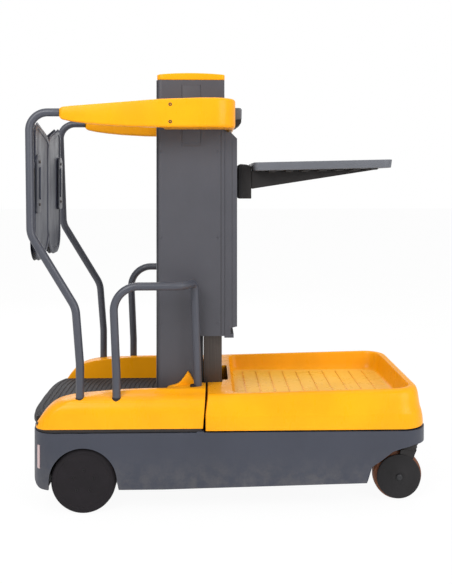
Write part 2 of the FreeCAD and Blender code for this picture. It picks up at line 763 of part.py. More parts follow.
def mast_stages():
    """Moving rails with cross members and the slide pads that guide them."""
    flange_back = S.mast_flange - S.mast_rear
    flange_front = -S.mast_front - S.mast_flange
    gap = S.running_gap
    for name, outer, rear, front in stage_layers():
        rails = []
        for side_name, side in SIDES:
            inner = outer - S.stage_width
            span = (side * inner, side * outer) if side > 0 else (side * outer, side * inner)
            rails.append(box(f"{name}_rail_{side_name}", (rear, front), span, (S.stage_foot, S.mast_top)))
            for index, low in enumerate((S.stage_foot + 10, S.mast_top - S.pad_height * 2)):
                reach = outer + S.body_gap - gap
                pad_span = (side * outer, side * reach) if side > 0 else (side * reach, side * outer)
                sides = (flange_back + gap, flange_front - gap) if name == "mast_stage_two" else (rear, front)
                pad_rise = (low, low + S.pad_height)
                rails.append(box(f"{name}_pad_{side_name}_{index}", sides, pad_span, pad_rise))
        inner = outer - S.stage_width
        for index, low in enumerate((S.stage_foot, S.mast_top - S.cross_height)):
            rails.append(box(
                f"{name}_tie_{index}", (front - S.cross_depth, front), (-inner, inner),
                (low, low + S.cross_height),
            ))
        node(name, fuse(name, *rails))


def carriage_bracket():
    """The arm that joins the column to the innermost stage."""
    _, outer, rear, front = stage_layers()[1]
    inner = outer - S.stage_width
    half = inner - S.body_gap
    reach = front - S.cross_depth - S.body_gap
    low = S.column_skirt + 15
    block = box("bracket_block", (-S.column_split, reach), (-half, half), (low, S.mast_top))
    pads = []
    for name, side in SIDES:
        far = inner - S.running_gap
        span = (half * side, far * side) if side > 0 else (far * side, half * side)
        for index, foot in enumerate((low + 10, S.mast_top - S.pad_height - 20)):
            pads.append(box(f"bracket_pad_{name}_{index}", (rear + 2, reach), span, (foot, foot + S.pad_height)))
    node("carriage_bracket", fuse("carriage_bracket", block, *pads))


# Load tray over the front of the chassis

def load_tray():
    """Moulded tray with sloping walls, a ledge at the mast and a ribbed floor."""
    half = S.overall_width / 2
    rear = S.seam_gap - S.seam_back
    deck = S.skirt_top - S.deck_drop
    inset = S.skirt_wall + 6
    corner = S.skirt_corner + 10
    outer = stacked((
        (S.tray_bottom, rear - 8, S.tray_front, half, 3, corner),
        (S.tray_crease, rear - 8, S.tray_front - 12, half - 8, 3, corner),
        (S.tray_rim - 12, rear - 1, S.tray_rim_front + 3, S.tray_rim_half + 4, 3, corner - 6, S.tray_rise),
        (S.tray_rim - 4, rear, S.tray_rim_front - 1, S.tray_rim_half, 3, corner - 7, S.tray_rise),
        (S.tray_rim, rear, S.tray_rim_front - 7, S.tray_rim_half - 6, 3, corner - 12, S.tray_rise),
    ))
    plinth = stacked((
        (deck, rear, S.tray_front - inset, half - inset, 3, corner - inset),
        (S.tray_bottom, rear, S.tray_front - inset, half - inset, 3, corner - inset),
    ))
    inner_half = S.tray_rim_half - S.rim_width
    inner_front = S.tray_rim_front - S.rim_width
    cavity = stacked((
        (S.tray_floor, S.tray_ledge + 12, inner_front - 14, inner_half - 12, 20, corner - 40),
        (S.tray_rim + 5, S.tray_ledge, inner_front, inner_half, 30, corner - 30, S.tray_rise),
    ))
    void = solid_between(
        (float(S.tray_ledge) - 50, inner_front - 60), (-(inner_half - 30), inner_half - 30),
        (deck - 1, S.tray_floor - S.shell_wall),
    )
    slot = solid_between(
        (rear - 20, 2 - S.mast_front), (-S.mast_half - 3, S.mast_half + 3), (deck - 1, S.tray_rim + 5),
    )
    pocket = solid_between(
        (-S.mast_front, S.tray_ledge - 13), (-S.pocket_half, S.pocket_half), (S.tray_floor, S.tray_rim + 5),
    )
    shape = outer.fuse(plinth).cut(cavity).cut(void).cut(slot).cut(pocket)
    ribs = []
    for index in range(int(S.tray_ribs.value)):
        x = S.tray_ledge + 65 + S.tray_rib_pitch * index
        rib_half = float(inner_half) - 60
        ribs.append(solid_between((x, x + S.rib_width), (-rib_half, rib_half),
                                  (S.tray_floor, S.tray_floor + S.rib_height)))
    coded("load_tray", shape.fuse(ribs).removeSplitter())


# Lifting platform

def platform_frame():
    """Steel floor of the platform with edge beams and the column's foot."""
    rear = 20 - S.platform_rear
    front = -S.mast_rear - S.body_gap
    under = S.floor_top - S.floor_thickness
    floor = box("frame_floor", (rear, front), (-S.floor_half, S.floor_half), (under, S.floor_top))
    edge = entry_edge("frame_edge", rear, dim(0), S.shell_bottom + S.lip_height, S.floor_top)
    beams = [
        box(f"frame_beam_{name}", (rear + 20, front),
            (side * S.beam_out - 20, side * S.beam_out + 20), (S.floor_top - S.edge_depth, under))
        for name, side in SIDES
    ]
    node("platform_frame", fuse("platform_frame", floor, edge, *beams))


def entry_edge(name, inside, inset, low, high):
    """The bowed strip at the platform's entry, from inside its edge to the bow less an inset."""
    half = S.footwell_half - 1 - inset
    outer = inset - S.platform_rear - S.entry_bow
    chord = (S.entry_bow * S.entry_bow + half * half) / (S.entry_bow * 2)
    bow = rod(name + "_bow", "z", chord, high - low, (outer + chord, 0, low))
    strip = box(name + "_strip", (outer, inside), (-half, half), (low, high))
    return common(name, bow, strip)


def platform_mat():
    """Ribbed rubber mat on the standing floor, out to the bowed entry edge."""
    half = S.footwell_half - 1
    rear = 20 - S.platform_rear
    low, high = S.floor_top, S.floor_top + S.mat_thickness
    sheet_part = box("mat_sheet", (rear, -S.column_rear - 2), (-half, half), (low, high))
    nosing = entry_edge("mat_nosing", rear, S.mat_thickness, low, high)
    node("platform_mat", fuse("platform_mat", sheet_part, nosing))


def rail_feet():
    """Foot points of the rails that pass through the cover: X and Y."""
    return ((-S.rail_foot_back, S.rail_knee_out), (15 - S.grab_back, S.grab_out))


# Platform cover from its lower edge up: share of its height, and how far its rear end,
# its sides and its corner arcs have drawn in
COVER = (
    (0.0, 0, 0, 90),
    (0.26, 16, 2, 88),
    (0.49, 43, 5, 84),
    (0.66, 62, 12, 80),
    (0.77, 82, 22, 76),
    (0.83, 104, 33, 72),
    (0.88, 162, 48, 68),
    (0.92, 241, 72, 60),
    (1.0, 400, 84, 50),
)


def cover_solid(inward, lift):
    """The cover's outside moved in by a wall thickness and down by a lift."""
    half = float(S.overall_width) / 2 - inward
    rear = inward - float(S.platform_rear)
    front = -float(S.seam_back) - inward
    rise = float(S.shell_ridge) - float(S.shell_bottom)
    return stacked([
        (float(S.shell_bottom) + share * rise - lift, rear + back, front - 6 * (1 - share),
         half - side, radius - inward, 3)
        for share, back, side, radius in COVER
    ])


def platform_shell():
    """Moulded cover along both sides of the platform and round the column."""
    rear = -S.platform_rear
    front = -S.seam_back
    ridge = S.shell_ridge
    wall = S.shell_wall
    footwell_wall = solid_between(
        (rear - 10, wall - S.footwell_front), (-S.footwell_half - wall, S.footwell_half + wall),
        (S.floor_top, ridge + 10),
    )
    footwell = solid_between(
        (rear - 20, -S.footwell_front), (-S.footwell_half, S.footwell_half), (S.floor_top, ridge + 20),
    )
    lip_top = S.shell_bottom + S.lip_height
    entry = solid_between(
        (rear - 20, rear + 30), (-S.footwell_half, S.footwell_half), (lip_top, S.floor_top + 1),
    )
    bow, half = float(S.entry_bow), float(S.footwell_half)
    chord = (bow * bow + half * half) / (bow * 2)
    lip = round_bar((0, 0, 1), chord, S.lip_height, (rear - S.entry_bow + chord, 0, S.shell_bottom))
    lip = lip.common(solid_between((rear - S.entry_bow, rear + 18), (-half, half), (S.shell_bottom, lip_top)))
    column_room = solid_between(
        (-S.column_rear - 2, front + 20), (-S.column_half - 2, S.column_half + 2),
        (S.shell_bottom - 2, ridge + 20),
    )
    below = solid_between(
        (rear + 19, 40 - S.mast_rear), (-S.floor_half - 1, S.floor_half + 1),
        (S.shell_bottom - 2, S.floor_top),
    )
    inside = cover_solid(float(wall), float(wall)).cut(footwell_wall)
    shell = cover_solid(0.0, 0.0).cut(inside).cut(footwell).cut(column_room).cut(below).cut(entry)
    fins = []
    for _, side in SIDES:
        middle = side * (S.column_half + 2 + S.fin_thickness / 2)
        fins.append(side_profile(
            (
                (-S.footwell_front, ridge - wall),
                (-S.footwell_front, ridge),
                (-S.fin_back - 44, ridge + 3),
                (-S.fin_back - 16, S.fin_top - 24),
                (-S.fin_back, S.fin_top),
                (11 - S.fin_back, S.fin_top - 13),
                (27 - S.fin_back, ridge + 7),
                (44 - S.fin_back, ridge),
                (44 - S.fin_back, ridge - wall),
            ),
            middle - S.fin_thickness / 2, middle + S.fin_thickness / 2,
        ))
    shell = shell.fuse([lip, *fins])
    for x, y in rail_feet():
        for _, side in SIDES:
            hole = round_bar((0, 0, 1), S.rail_radius + 1, 200, (x, side * y, S.floor_top))
            shell = shell.cut(hole)
    coded("platform_shell", shell.removeSplitter())


def column():
    """Hollow column: a box on the platform and a shroud round the mast."""
    half = S.column_half
    wall = S.column_wall
    outer = plate(
        "column_outer", "XY",
        [
            (-S.column_rear, -half, S.column_corner),
            (-S.column_front, -half),
            (-S.column_front, half),
            (-S.column_rear, half, S.column_corner),
        ],
        S.floor_top, S.column_top,
    )
    rear_room = box(
        "column_room", (wall - S.column_rear, -S.column_split - wall), (wall - half, half - wall),
        (S.floor_top - 1, S.column_top - wall),
    )
    mast_room = box(
        "mast_room", (-S.column_split, -S.column_front - 4), (wall - half, half - wall),
        (S.floor_top - 1, S.column_top - wall),
    )
    below = box(
        "column_below", (-S.column_split, dim(5)), (-half - 5, half + 5), (S.floor_top - 1, S.column_skirt),
    )
    recesses = [
        box(f"column_recess_{name}", (-S.recess_back, S.recess_length - S.recess_back),
            (side * half - 2, side * half + 2), (S.column_top - S.recess_height - 21, S.column_top - 21))
        for name, side in SIDES
    ]
    node("column", cut("column", outer, rear_room, mast_room, below, *recesses))


def column_cap():
    """Arched cap over the column."""
    half = S.column_half - 6
    length = S.column_rear - S.column_front - 16
    middle = -(S.column_rear + S.column_front) / 2
    arch = S.cap_height - S.cap_end
    radius = (arch * arch + length * length / 4) / (arch * 2)
    block = box(
        "cap_block", (middle - length / 2, middle + length / 2), (-half, half),
        (S.column_top, S.column_top + S.cap_height),
    )
    barrel = rod(
        "cap_barrel", "y", radius, half * 2 + 2,
        (middle, -half - 1, S.column_top + S.cap_height - radius),
    )
    node("column_cap", common("column_cap", block, barrel))


def shelf_guide():
    """Slotted post on the column's front that the shelf slides in."""
    rear = -S.column_front
    solid = plate(
        "guide_solid", "XZ",
        [
            (rear, S.guide_bottom),
            (S.guide_front - 14, S.guide_bottom),
            (S.guide_front - 14, S.guide_bottom + 16),
            (S.guide_front - 26, S.guide_bottom + 16),
            (S.guide_front - 26, S.guide_bottom + 40),
            (S.guide_front, S.guide_bottom + 46),
            (S.guide_front, S.guide_top - 26),
            (S.guide_front - 26, S.guide_top),
            (rear, S.guide_top),
        ],
        -S.guide_half, S.guide_half,
    )
    room = box(
        "guide_room", (rear + 6, S.guide_front - 6), (-S.guide_half + 6, S.guide_half - 6),
        (S.guide_bottom + 54, S.guide_top - 32),
    )
    slot = box(
        "guide_mouth", (S.guide_front - 7, S.guide_front + 1), (-S.guide_slot, S.guide_slot),
        (S.guide_bottom + 54, S.guide_top - 32),
    )
    node("shelf_guide", cut("shelf_guide", solid, room, slot))


def yoke_outline():
    """Plan of the yoke, from one arm tip round the column to the other."""
    half = S.yoke_half
    notch = 30 - S.column_rear
    right = [
        (-S.arm_tip, S.arm_inner),
        (-S.arm_tip, half - 12),
        (-S.column_rear, half),
        (S.yoke_front, half, S.yoke_corner),
    ]
    inside = [
        (-S.column_front, S.column_half),
        (notch, S.column_half),
        (notch, S.arm_inner, 30),
    ]
    left = [(x, -y, *radius) for x, y, *radius in reversed(right)]
    inside_left = [(x, -y, *radius) for x, y, *radius in reversed(inside)]
    return right + left + inside_left + inside


def yoke_wedge(name, level, bends, past):
    """What is cut off the yoke above or below a bent line along its arms."""
    far = S.yoke_half + 20
    line = [(-back, height) for back, height in bends]
    ends = [(-bends[-1][0], level + past), (-bends[0][0], level + past)]
    return plate(name, "XZ", line + ends, -far, far)


def yoke():
    """Horseshoe yoke that holds the column and carries the handrails."""
    solid = plate("yoke_solid", "XY", yoke_outline(), S.yoke_bottom, S.yoke_top)
    beyond = S.arm_tip + 5
    bend = S.arm_tip - 174
    top = yoke_wedge(
        "yoke_top_wedge", S.yoke_top,
        [
            (dim(19), S.yoke_top),
            (S.column_rear - 20, S.yoke_top - S.arm_fall * 0.26),
            (bend, S.yoke_top - S.arm_fall * 0.66),
            (beyond, S.yoke_top - S.arm_fall),
        ],
        5,
    )
    low = yoke_wedge(
        "yoke_low_wedge", S.yoke_bottom,
        [
            (S.column_rear, S.yoke_bottom),
            (bend, S.yoke_bottom + S.arm_rise * 0.36),
            (beyond, S.yoke_bottom + S.arm_rise),
        ],
        -5,
    )
    node("yoke", cut("yoke", solid, top, low))


def yoke_housing():
    """Front housing on the yoke, shaped to the yoke's face."""
    low = S.yoke_bottom + S.housing_rise
    solid = plate(
        "housing_solid", "XZ",
        [
            (20, low),
            (S.housing_front - 12, low),
            (S.housing_front, low + 14),
            (S.housing_front, low + S.housing_height, 4),
            (20, low + S.housing_height),
        ],
        -S.housing_half, S.housing_half,
    )
    blank = box("housing_blank", (dim(0), S.yoke_front), (-S.yoke_half, S.yoke_half), (S.yoke_bottom, S.yoke_top))
    node("yoke_housing", cut("yoke_housing", solid, blank))


def control_console():
    """Operator console between the yoke arms on the column's rear face."""
    rear = -S.column_rear
    node("control_console", plate(
        "control_console", "XZ",
        [
            (rear, S.yoke_bottom + S.console_rise),
            (rear, S.yoke_top - 4),
            (rear - S.console_depth * 0.45, S.yoke_top - 2, 14),
            (rear - S.console_depth, S.yoke_top - 30, 10),
            (rear - S.console_depth, S.yoke_top - 56, 10),
            (rear - S.console_depth * 0.6, S.yoke_bottom + S.console_rise, 12),
        ],
        -S.console_half, S.console_half,
    ))


def handrails():
    """Bent tubes from the yoke arms down to the platform frame."""
    foot_bend = (S.rail_low_knee + S.floor_top) / 2
    for name, side in SIDES:
        head = side * S.rail_head_out
        knee = side * S.rail_knee_out
        points = (
            (-S.arm_tip, head, S.rail_top),
            (-S.rail_head_back, head, S.rail_top),
            (-S.rail_knee_back, knee, S.rail_knee),
            (-S.rail_foot_back - 17, knee, S.rail_low_knee),
            (-S.rail_foot_back, knee, foot_bend),
            (-S.rail_foot_back, knee, S.floor_top),
        )
        coded(f"handrail_{name}", bent_tube(points, (70, 90, 110, 300), S.rail_radius))


def grab_rails():
    """Low rails beside the standing space, turned inward at the column."""
    for name, side in SIDES:
        out = side * S.grab_out
        near = side * (S.column_half + S.grab_clear)
        points = (
            (15 - S.grab_back, out, S.floor_top),
            (15 - S.grab_back, out, S.shell_ridge + 65),
            (-S.grab_back, out, S.grab_top),
            (-S.grab_turn, out, S.grab_top),
            (-S.grab_front, near, S.grab_top),
            (14 - S.grab_front, near, S.shell_ridge - 5),
        )
        tube = bent_tube(points, (300, 95, 70, 26), S.rail_radius)
        under = solid_between(
            (-S.grab_turn, 0), (near - 40, near + 40), (S.shell_ridge - 20, S.shell_ridge),
        )
        coded(f"grab_rail_{name}", tube.cut(under))


def rail_at(height):
    """Where the leaning handrail post is at a height: behind the origin and beside the centre line."""
    share = (S.rail_top - height) / (S.rail_top - S.rail_knee)
    back = S.rail_head_back + (S.rail_knee_back - S.rail_head_back) * share
    out = S.rail_head_out + (S.rail_knee_out - S.rail_head_out) * share
    return back, out


def gate_hinges():
    """Two clamps on each handrail post with the pin between them."""
    x = -S.hinge_back
    for name, side in SIDES:
        pin_y = side * S.hinge_out
        rail = next(thing for thing in NODES if thing.Label == f"handrail_{name}")
        pieces = []
        for index, low in enumerate((S.hinge_low, S.hinge_high)):
            high = low + S.clamp_height
            back, out = rail_at(low + S.clamp_height / 2)
            post = side * out
            ends = sorted((post, pin_y), key=float)
            reach = S.rail_radius + S.clamp_wall
            pieces.append(rod(f"clamp_{name}_{index}", "z", reach, high - low, (-back, post, low)))
            pieces.append(rod(f"lug_end_{name}_{index}", "z", dim(12), high - low, (x, pin_y, low)))
            pieces.append(box(f"lug_{name}_{index}", (x - 12, x + 12), ends, (low, high)))
        pin_low = S.hinge_low + S.clamp_height
        pieces.append(rod(f"pin_{name}", "z", S.hinge_pin, S.hinge_high - pin_low, (x, pin_y, pin_low)))
        joined = fuse(f"hinge_joined_{name}", *pieces)
        node(f"gate_hinge_{name}", cut(f"gate_hinge_{name}", joined, rail))


def gate_leaves():
    """Paddle leaves that close the platform entry, each with a hinge plate."""
    x = -S.hinge_back
    half = S.leaf_thickness / 2
    for name, side in SIDES:
        near = side * S.leaf_gap
        edge = side * (S.hinge_out - S.leaf_inset)
        blade = plate(
            f"leaf_blade_{name}", "YZ",
            [
                (edge, S.leaf_top, 26),
                (near, S.leaf_top - S.leaf_drop, 14),
                (near, S.leaf_bottom, 104),
                (edge, S.leaf_bottom, 44),
            ],
            x - half, x + half,
        )
        plate_ends = (side * (S.hinge_out - 29), side * (S.hinge_out - 90))
        backing = plate(
            f"leaf_plate_{name}", "YZ",
            block_corners(
                sorted(plate_ends, key=float), (S.hinge_low - 21, S.hinge_high + 57), 22,
            ),
            x + half, x + half + S.leaf_plate,
        )
        low = S.hinge_low + S.clamp_height + S.running_gap
        high = S.hinge_high - S.running_gap
        pin_y = side * S.hinge_out
        ends = sorted((edge, pin_y), key=float)
        sleeve = rod(f"leaf_sleeve_{name}", "z", dim(13), high - low, (x, pin_y, low))
        tongue = box(f"leaf_tongue_{name}", (x - 8, x + 8), ends, (low, high))
        joined = fuse(f"leaf_joined_{name}", blade, sleeve, tongue, backing)
        bore = rod(f"leaf_bore_{name}", "z", S.hinge_pin + S.bearing_fit, high - low + 2, (x, pin_y, low - 1))
        node(f"gate_leaf_{name}", cut(f"gate_leaf_{name}", joined, bore))


# Upper shelf

def shelf_slide():
    """Bracket with a headed shoe that runs in the guide's slot."""
    front = S.shelf_rear
    body = plate(
        "slide_body", "XZ",
        [
            (S.guide_front + 10, S.bracket_low, 6),
            (front, S.bracket_low, 20),
            (front, S.bracket_high),
            (S.guide_front + 10, S.bracket_high, 32),
        ],
        -S.bracket_half, S.bracket_half,
    )
    neck_half = S.guide_slot - S.running_gap
    heads = []
    for index, low in enumerate((S.bracket_low + 10, S.bracket_high - 60)):
        zs = (low, low + 40)
        neck = (S.guide_front - 14, S.guide_front + 10)
        heads.append(box(f"slide_neck_{index}", neck, (-neck_half, neck_half), zs))
        head = (S.guide_front - 26, S.guide_front - 6 - S.running_gap)
        heads.append(box(f"slide_head_{index}", head, (dim(-40), dim(40)), zs))
    node("shelf_slide", fuse("shelf_slide", body, *heads))


def shelf_heel():
    """Where the tilted shelf's lower back edge lies, so that its rim meets the bracket."""
    return float(S.shelf_rear) + float(S.shelf_depth) * math.sin(math.radians(float(S.shelf_tilt)))


def shelf_rise(x):
    """Height of the shelf's underside at a distance ahead of the origin."""
    return float(S.shelf_base) + (float(x) - shelf_heel()) * math.tan(math.radians(float(S.shelf_tilt)))


def shelf_tray():
    """Shallow tray, a little higher at its front."""
    low = float(S.shelf_base)
    high = low + float(S.shelf_depth)
    wall = float(S.shelf_wall)
    outer = stacked((
        (low, S.shelf_rear, S.shelf_front - 6, S.shelf_half - 6, 20, 50),
        (high, S.shelf_rear, S.shelf_front, S.shelf_half, 20, 50),
    ))
    inner = stacked((
        (low + wall, S.shelf_rear + wall, S.shelf_front - 6 - wall, S.shelf_half - 6 - wall, 16, 46),
        (high + 1, S.shelf_rear + wall, S.shelf_front - wall, S.shelf_half - wall, 16, 46),
    ))
    shape = outer.cut(inner)
    turn = Rotation(Vector(0, 1, 0), -float(S.shelf_tilt))
    pivot = Vector(float(S.shelf_rear), 0, low)
    made = coded("shelf_tray", shape)
    made.Placement = Placement(Vector(shelf_heel() - float(S.shelf_rear), 0, 0), turn, pivot)


def shelf_braces():
    """Two tapered plates under the shelf."""
    front = S.shelf_front - 40
    plates = []
    for _, side in SIDES:
        y = side * S.brace_out
        plates.append(side_profile(
            (
                (S.shelf_rear, S.brace_low),
                (S.shelf_rear, shelf_rise(S.shelf_rear)),
                (front, shelf_rise(front)),
                (front, shelf_rise(front) - 8),
            ),
            y - S.brace_plate / 2, y + S.brace_plate / 2,
        ))
    web = side_profile(
        (
            (S.shelf_rear, S.brace_low + 16),
            (S.shelf_rear, shelf_rise(S.shelf_rear)),
            (S.shelf_rear + S.brace_plate, shelf_rise(S.shelf_rear + S.brace_plate)),
            (S.shelf_rear + S.brace_plate, S.brace_low + 16),
        ),
        S.brace_plate / 2 - S.brace_out, S.brace_out - S.brace_plate / 2,
    )
    coded("shelf_brace", plates[0].fuse([plates[1], web]).removeSplitter())


chassis_skirt()
rear_lamps()
chassis_deck()
battery()
drive_units()
drive_wheels()
caster_mounts()
caster_forks()
caster_wheels()
base_mast()
mast_stages()
carriage_bracket()
load_tray()
platform_frame()
platform_mat()
platform_shell()
column()
column_cap()
shelf_guide()
yoke()
yoke_housing()
control_console()
handrails()
grab_rails()
gate_hinges()
gate_leaves()
shelf_slide()
shelf_tray()
shelf_braces()

doc.recompute()

for thing in doc.Objects:
    if {"Invalid", "Error"} & set(thing.State):
        raise RuntimeError(f"{thing.Label} did not build: {thing.State}")
for thing in NODES:
    if thing.Shape.isNull() or not thing.Shape.isValid():
        raise RuntimeError(f"{thing.Label} has no valid shape")

os.makedirs("parts", exist_ok=True)
for thing in NODES:
    thing.Shape.exportStep(f"parts/{thing.Label}.step")
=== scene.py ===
import json
import math
import bpy
import numpy as np
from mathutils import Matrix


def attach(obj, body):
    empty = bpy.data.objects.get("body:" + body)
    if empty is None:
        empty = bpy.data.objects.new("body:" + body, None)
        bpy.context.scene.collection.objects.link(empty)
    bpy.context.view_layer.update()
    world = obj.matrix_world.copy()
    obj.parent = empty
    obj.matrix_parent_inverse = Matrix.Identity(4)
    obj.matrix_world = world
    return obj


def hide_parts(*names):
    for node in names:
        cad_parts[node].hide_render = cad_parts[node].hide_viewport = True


# Order picker truck: moulded covers, wheels, trim and finishes over its solid parts, in metres.
# +X points to the load tray end, +Z up; "left" is the side at negative Y.

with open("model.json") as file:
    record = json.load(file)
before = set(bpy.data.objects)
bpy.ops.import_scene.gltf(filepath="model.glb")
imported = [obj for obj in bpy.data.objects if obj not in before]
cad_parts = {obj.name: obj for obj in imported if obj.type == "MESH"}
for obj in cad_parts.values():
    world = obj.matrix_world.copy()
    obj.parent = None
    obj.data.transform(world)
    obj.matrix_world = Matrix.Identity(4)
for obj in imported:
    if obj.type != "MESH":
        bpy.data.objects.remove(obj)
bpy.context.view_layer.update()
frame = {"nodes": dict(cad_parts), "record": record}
nodes = frame["nodes"]
scene = bpy.context.scene
joints = {row["name"]: row["pos_m"] for row in frame["record"]["behaviour"]["joints"] if "pos_m" in row}
DRIVE_X, _, DRIVE_Z = joints["drive_spin_right"]
CASTER_X, CASTER_Y, CASTER_Z = joints["caster_spin_right"]
GATE_X, GATE_Y, _ = joints["gate_swing_right"]
SIDES = (("left", -1.0), ("right", 1.0))


# Material helpers

MATERIALS = {}
PAINTED_TOP_LIGHT = (0.8, 0.55, 0.11, 1.0)
ROAD_DIRT = (0.16, 0.145, 0.125, 1.0)


class Graph:
    """A material's node tree with short ways to add what this scene uses."""

    def __init__(self, name):
        self.material = MATERIALS[name] = bpy.data.materials.new(name)
        self.material.use_nodes = True
        self.tree = self.material.node_tree
        self.shader = self.tree.nodes["Principled BSDF"]
        self.place = self.add("ShaderNodeTexCoord").outputs["Object"]

    def add(self, kind, **values):
        """A node with its plain properties set."""
        made = self.tree.nodes.new(kind)
        for key, value in values.items():
            setattr(made, key, value)
        return made

    def join(self, source, target):
        """A link, or a plain value where the source is a number or colour."""
        if isinstance(source, bpy.types.NodeSocket):
            self.tree.links.new(source, target)
        else:
            target.default_value = source

    def set(self, **values):
        """Plain values or links on the shader's sockets, named with underscores."""
        for key, value in values.items():
            self.join(value, self.shader.inputs[key.replace("_", " ")])

    def noise(self, scale, detail=3.0, roughness=0.55, stretch=(1, 1, 1), distortion=0.0):
        """Noise over object space, stretched along the axes."""
        moved = self.add("ShaderNodeMapping")
        self.join(self.place, moved.inputs["Vector"])
        moved.inputs["Scale"].default_value = stretch
        made = self.add("ShaderNodeTexNoise")
        self.join(moved.outputs["Vector"], made.inputs["Vector"])
        for key, value in (("Scale", scale), ("Detail", detail), ("Roughness", roughness),
                           ("Distortion", distortion)):
            made.inputs[key].default_value = value
        return made.outputs["Fac"]

    def ramp(self, value, low, high, out_low=0.0, out_high=1.0):
        """A value remapped smoothly from one span to another."""
        made = self.add("ShaderNodeMapRange", interpolation_type="SMOOTHSTEP")
        self.join(value, made.inputs["Value"])
        for key, number in (("From Min", low), ("From Max", high), ("To Min", out_low), ("To Max", out_high)):
            self.join(number, made.inputs[key])
        return made.outputs["Result"]

    def math(self, operation, first, second=0.0, third=0.0):
        """One arithmetic step."""
        made = self.add("ShaderNodeMath", operation=operation)
        for value, target in zip((first, second, third), made.inputs):
            self.join(value, target)
        return made.outputs["Value"]

    def mix(self, amount, first, second):
        """Two colours mixed."""
        made = self.add("ShaderNodeMix", data_type="RGBA")
        self.join(amount, made.inputs["Factor"])
        self.join(first, made.inputs["A"])
        self.join(second, made.inputs["B"])
        return made.outputs["Result"]

    def height(self):
        """Height above the floor."""
        split = self.add("ShaderNodeSeparateXYZ")
        self.join(self.place, split.inputs["Vector"])
        return split.outputs["Z"]

    def facing(self):
        """How far the surface faces upwards."""
        geometry = self.add("ShaderNodeNewGeometry")
        split = self.add("ShaderNodeSeparateXYZ")
        self.join(geometry.outputs["Normal"], split.inputs["Vector"])
        return split.outputs["Z"]

    def edges(self, radius):
        """High on sharp convex edges, from the turn of a rounded normal."""
        rounded = self.add("ShaderNodeBevel", samples=4)
        rounded.inputs["Radius"].default_value = radius
        geometry = self.add("ShaderNodeNewGeometry")
        dot = self.add("ShaderNodeVectorMath", operation="DOT_PRODUCT")
        self.join(rounded.outputs["Normal"], dot.inputs[0])
        self.join(geometry.outputs["Normal"], dot.inputs[1])
        return self.ramp(dot.outputs["Value"], 0.97, 0.8)

    def bump(self, *layers, round_edges=0.0):
        """Bump from (height, strength, distance) layers, over softened edges."""
        normal = None
        if round_edges:
            rounded = self.add("ShaderNodeBevel", samples=4)
            rounded.inputs["Radius"].default_value = round_edges
            normal = rounded.outputs["Normal"]
        for value, strength, distance in layers:
            made = self.add("ShaderNodeBump")
            made.inputs["Strength"].default_value = strength
            made.inputs["Distance"].default_value = distance
            self.join(value, made.inputs["Height"])
            if normal is not None:
                self.join(normal, made.inputs["Normal"])
            normal = made.outputs["Normal"]
        self.set(Normal=normal)


def tone(colour, factor):
    """A colour made lighter or darker."""
    return tuple(min(1.0, channel * factor) for channel in colour[:3]) + (1.0,)


def coated(name, colour, roughness, grain=900.0, grain_strength=0.08, wear=0.25, dust=0.25,
           metallic=0.0, coat=0.0, worn=None, edge=0.0012, low_dirt=0.0, shine=0.5, pale=None):
    """Paint or moulded plastic: mottling, fine grain, rubbed edges and a film of dust.

    Pale, if given, is a span of heights whose level faces are painted paler, as painted light from above.
    """
    g = Graph(name)
    base = tone(colour, 1.0)
    broad = g.noise(3.5, 4.0)
    mottled = g.mix(g.ramp(broad, 0.3, 0.7), tone(colour, 0.92), tone(colour, 1.06))
    smears = g.noise(14.0, 5.0, 0.65, stretch=(1, 1, 0.35))
    dusty = g.math("MULTIPLY", g.ramp(g.facing(), 0.55, 1.0), g.ramp(smears, 0.35, 0.75, 0.0, dust))
    shaded = g.mix(dusty, mottled, tone([0.35 + 0.45 * c for c in colour], 0.9))
    # Painted light: level faces within the pale span of heights are painted paler, as if lit from above.
    if pale:
        top_lit = g.math("MULTIPLY", g.ramp(g.height(), pale[1], pale[1] + 0.006, 1.0, 0.0),
                      g.ramp(g.height(), pale[0] - 0.003, pale[0], 0.0, 0.5))
        top_lit = g.math("MULTIPLY", top_lit, g.ramp(g.facing(), 0.85, 0.98))
        shaded = g.mix(top_lit, shaded, PAINTED_TOP_LIGHT)
    if low_dirt:
        fall = g.ramp(g.height(), 0.26, 0.06, 0.0, low_dirt)
        grime = g.math("MULTIPLY", fall, g.ramp(g.noise(22.0, 6.0, 0.7), 0.35, 0.7))
        shaded = g.mix(grime, shaded, ROAD_DIRT)
    if worn is not None:
        rub = g.math("MULTIPLY", g.edges(edge * 2), g.ramp(g.noise(60.0, 4.0, 0.7), 0.45, 0.7, 0.0, wear))
        shaded = g.mix(rub, shaded, tone(worn, 1.0))
    g.set(Base_Color=shaded, Metallic=metallic, Specular_IOR_Level=shine)
    patch = g.ramp(smears, 0.3, 0.75, roughness * 0.82, min(1.0, roughness * 1.22))
    g.set(Roughness=g.math("ADD", patch, g.math("MULTIPLY", dusty, 0.35)))
    if coat:
        g.set(Coat_Weight=coat, Coat_Roughness=0.08)
    g.bump((g.noise(grain, 2.0), grain_strength, 0.0003), (g.noise(6.0, 2.0), 0.12, 0.002), round_edges=edge)


def steel(name, colour, roughness):
    """Rolled steel with streaks along its length and a thin film of grease."""
    g = Graph(name)
    streak = g.noise(220.0, 4.0, 0.6, stretch=(1, 1, 0.02))
    film = g.noise(9.0, 4.0)
    shade = g.mix(g.ramp(streak, 0.3, 0.7), tone(colour, 0.8), tone(colour, 1.1))
    g.set(Base_Color=g.mix(g.ramp(film, 0.5, 0.75, 0.0, 0.5), shade, tone(colour, 0.35)), Metallic=0.9)
    g.set(Roughness=g.ramp(streak, 0.2, 0.8, roughness * 0.8, roughness * 1.3))
    g.bump((streak, 0.15, 0.0004), round_edges=0.0008)


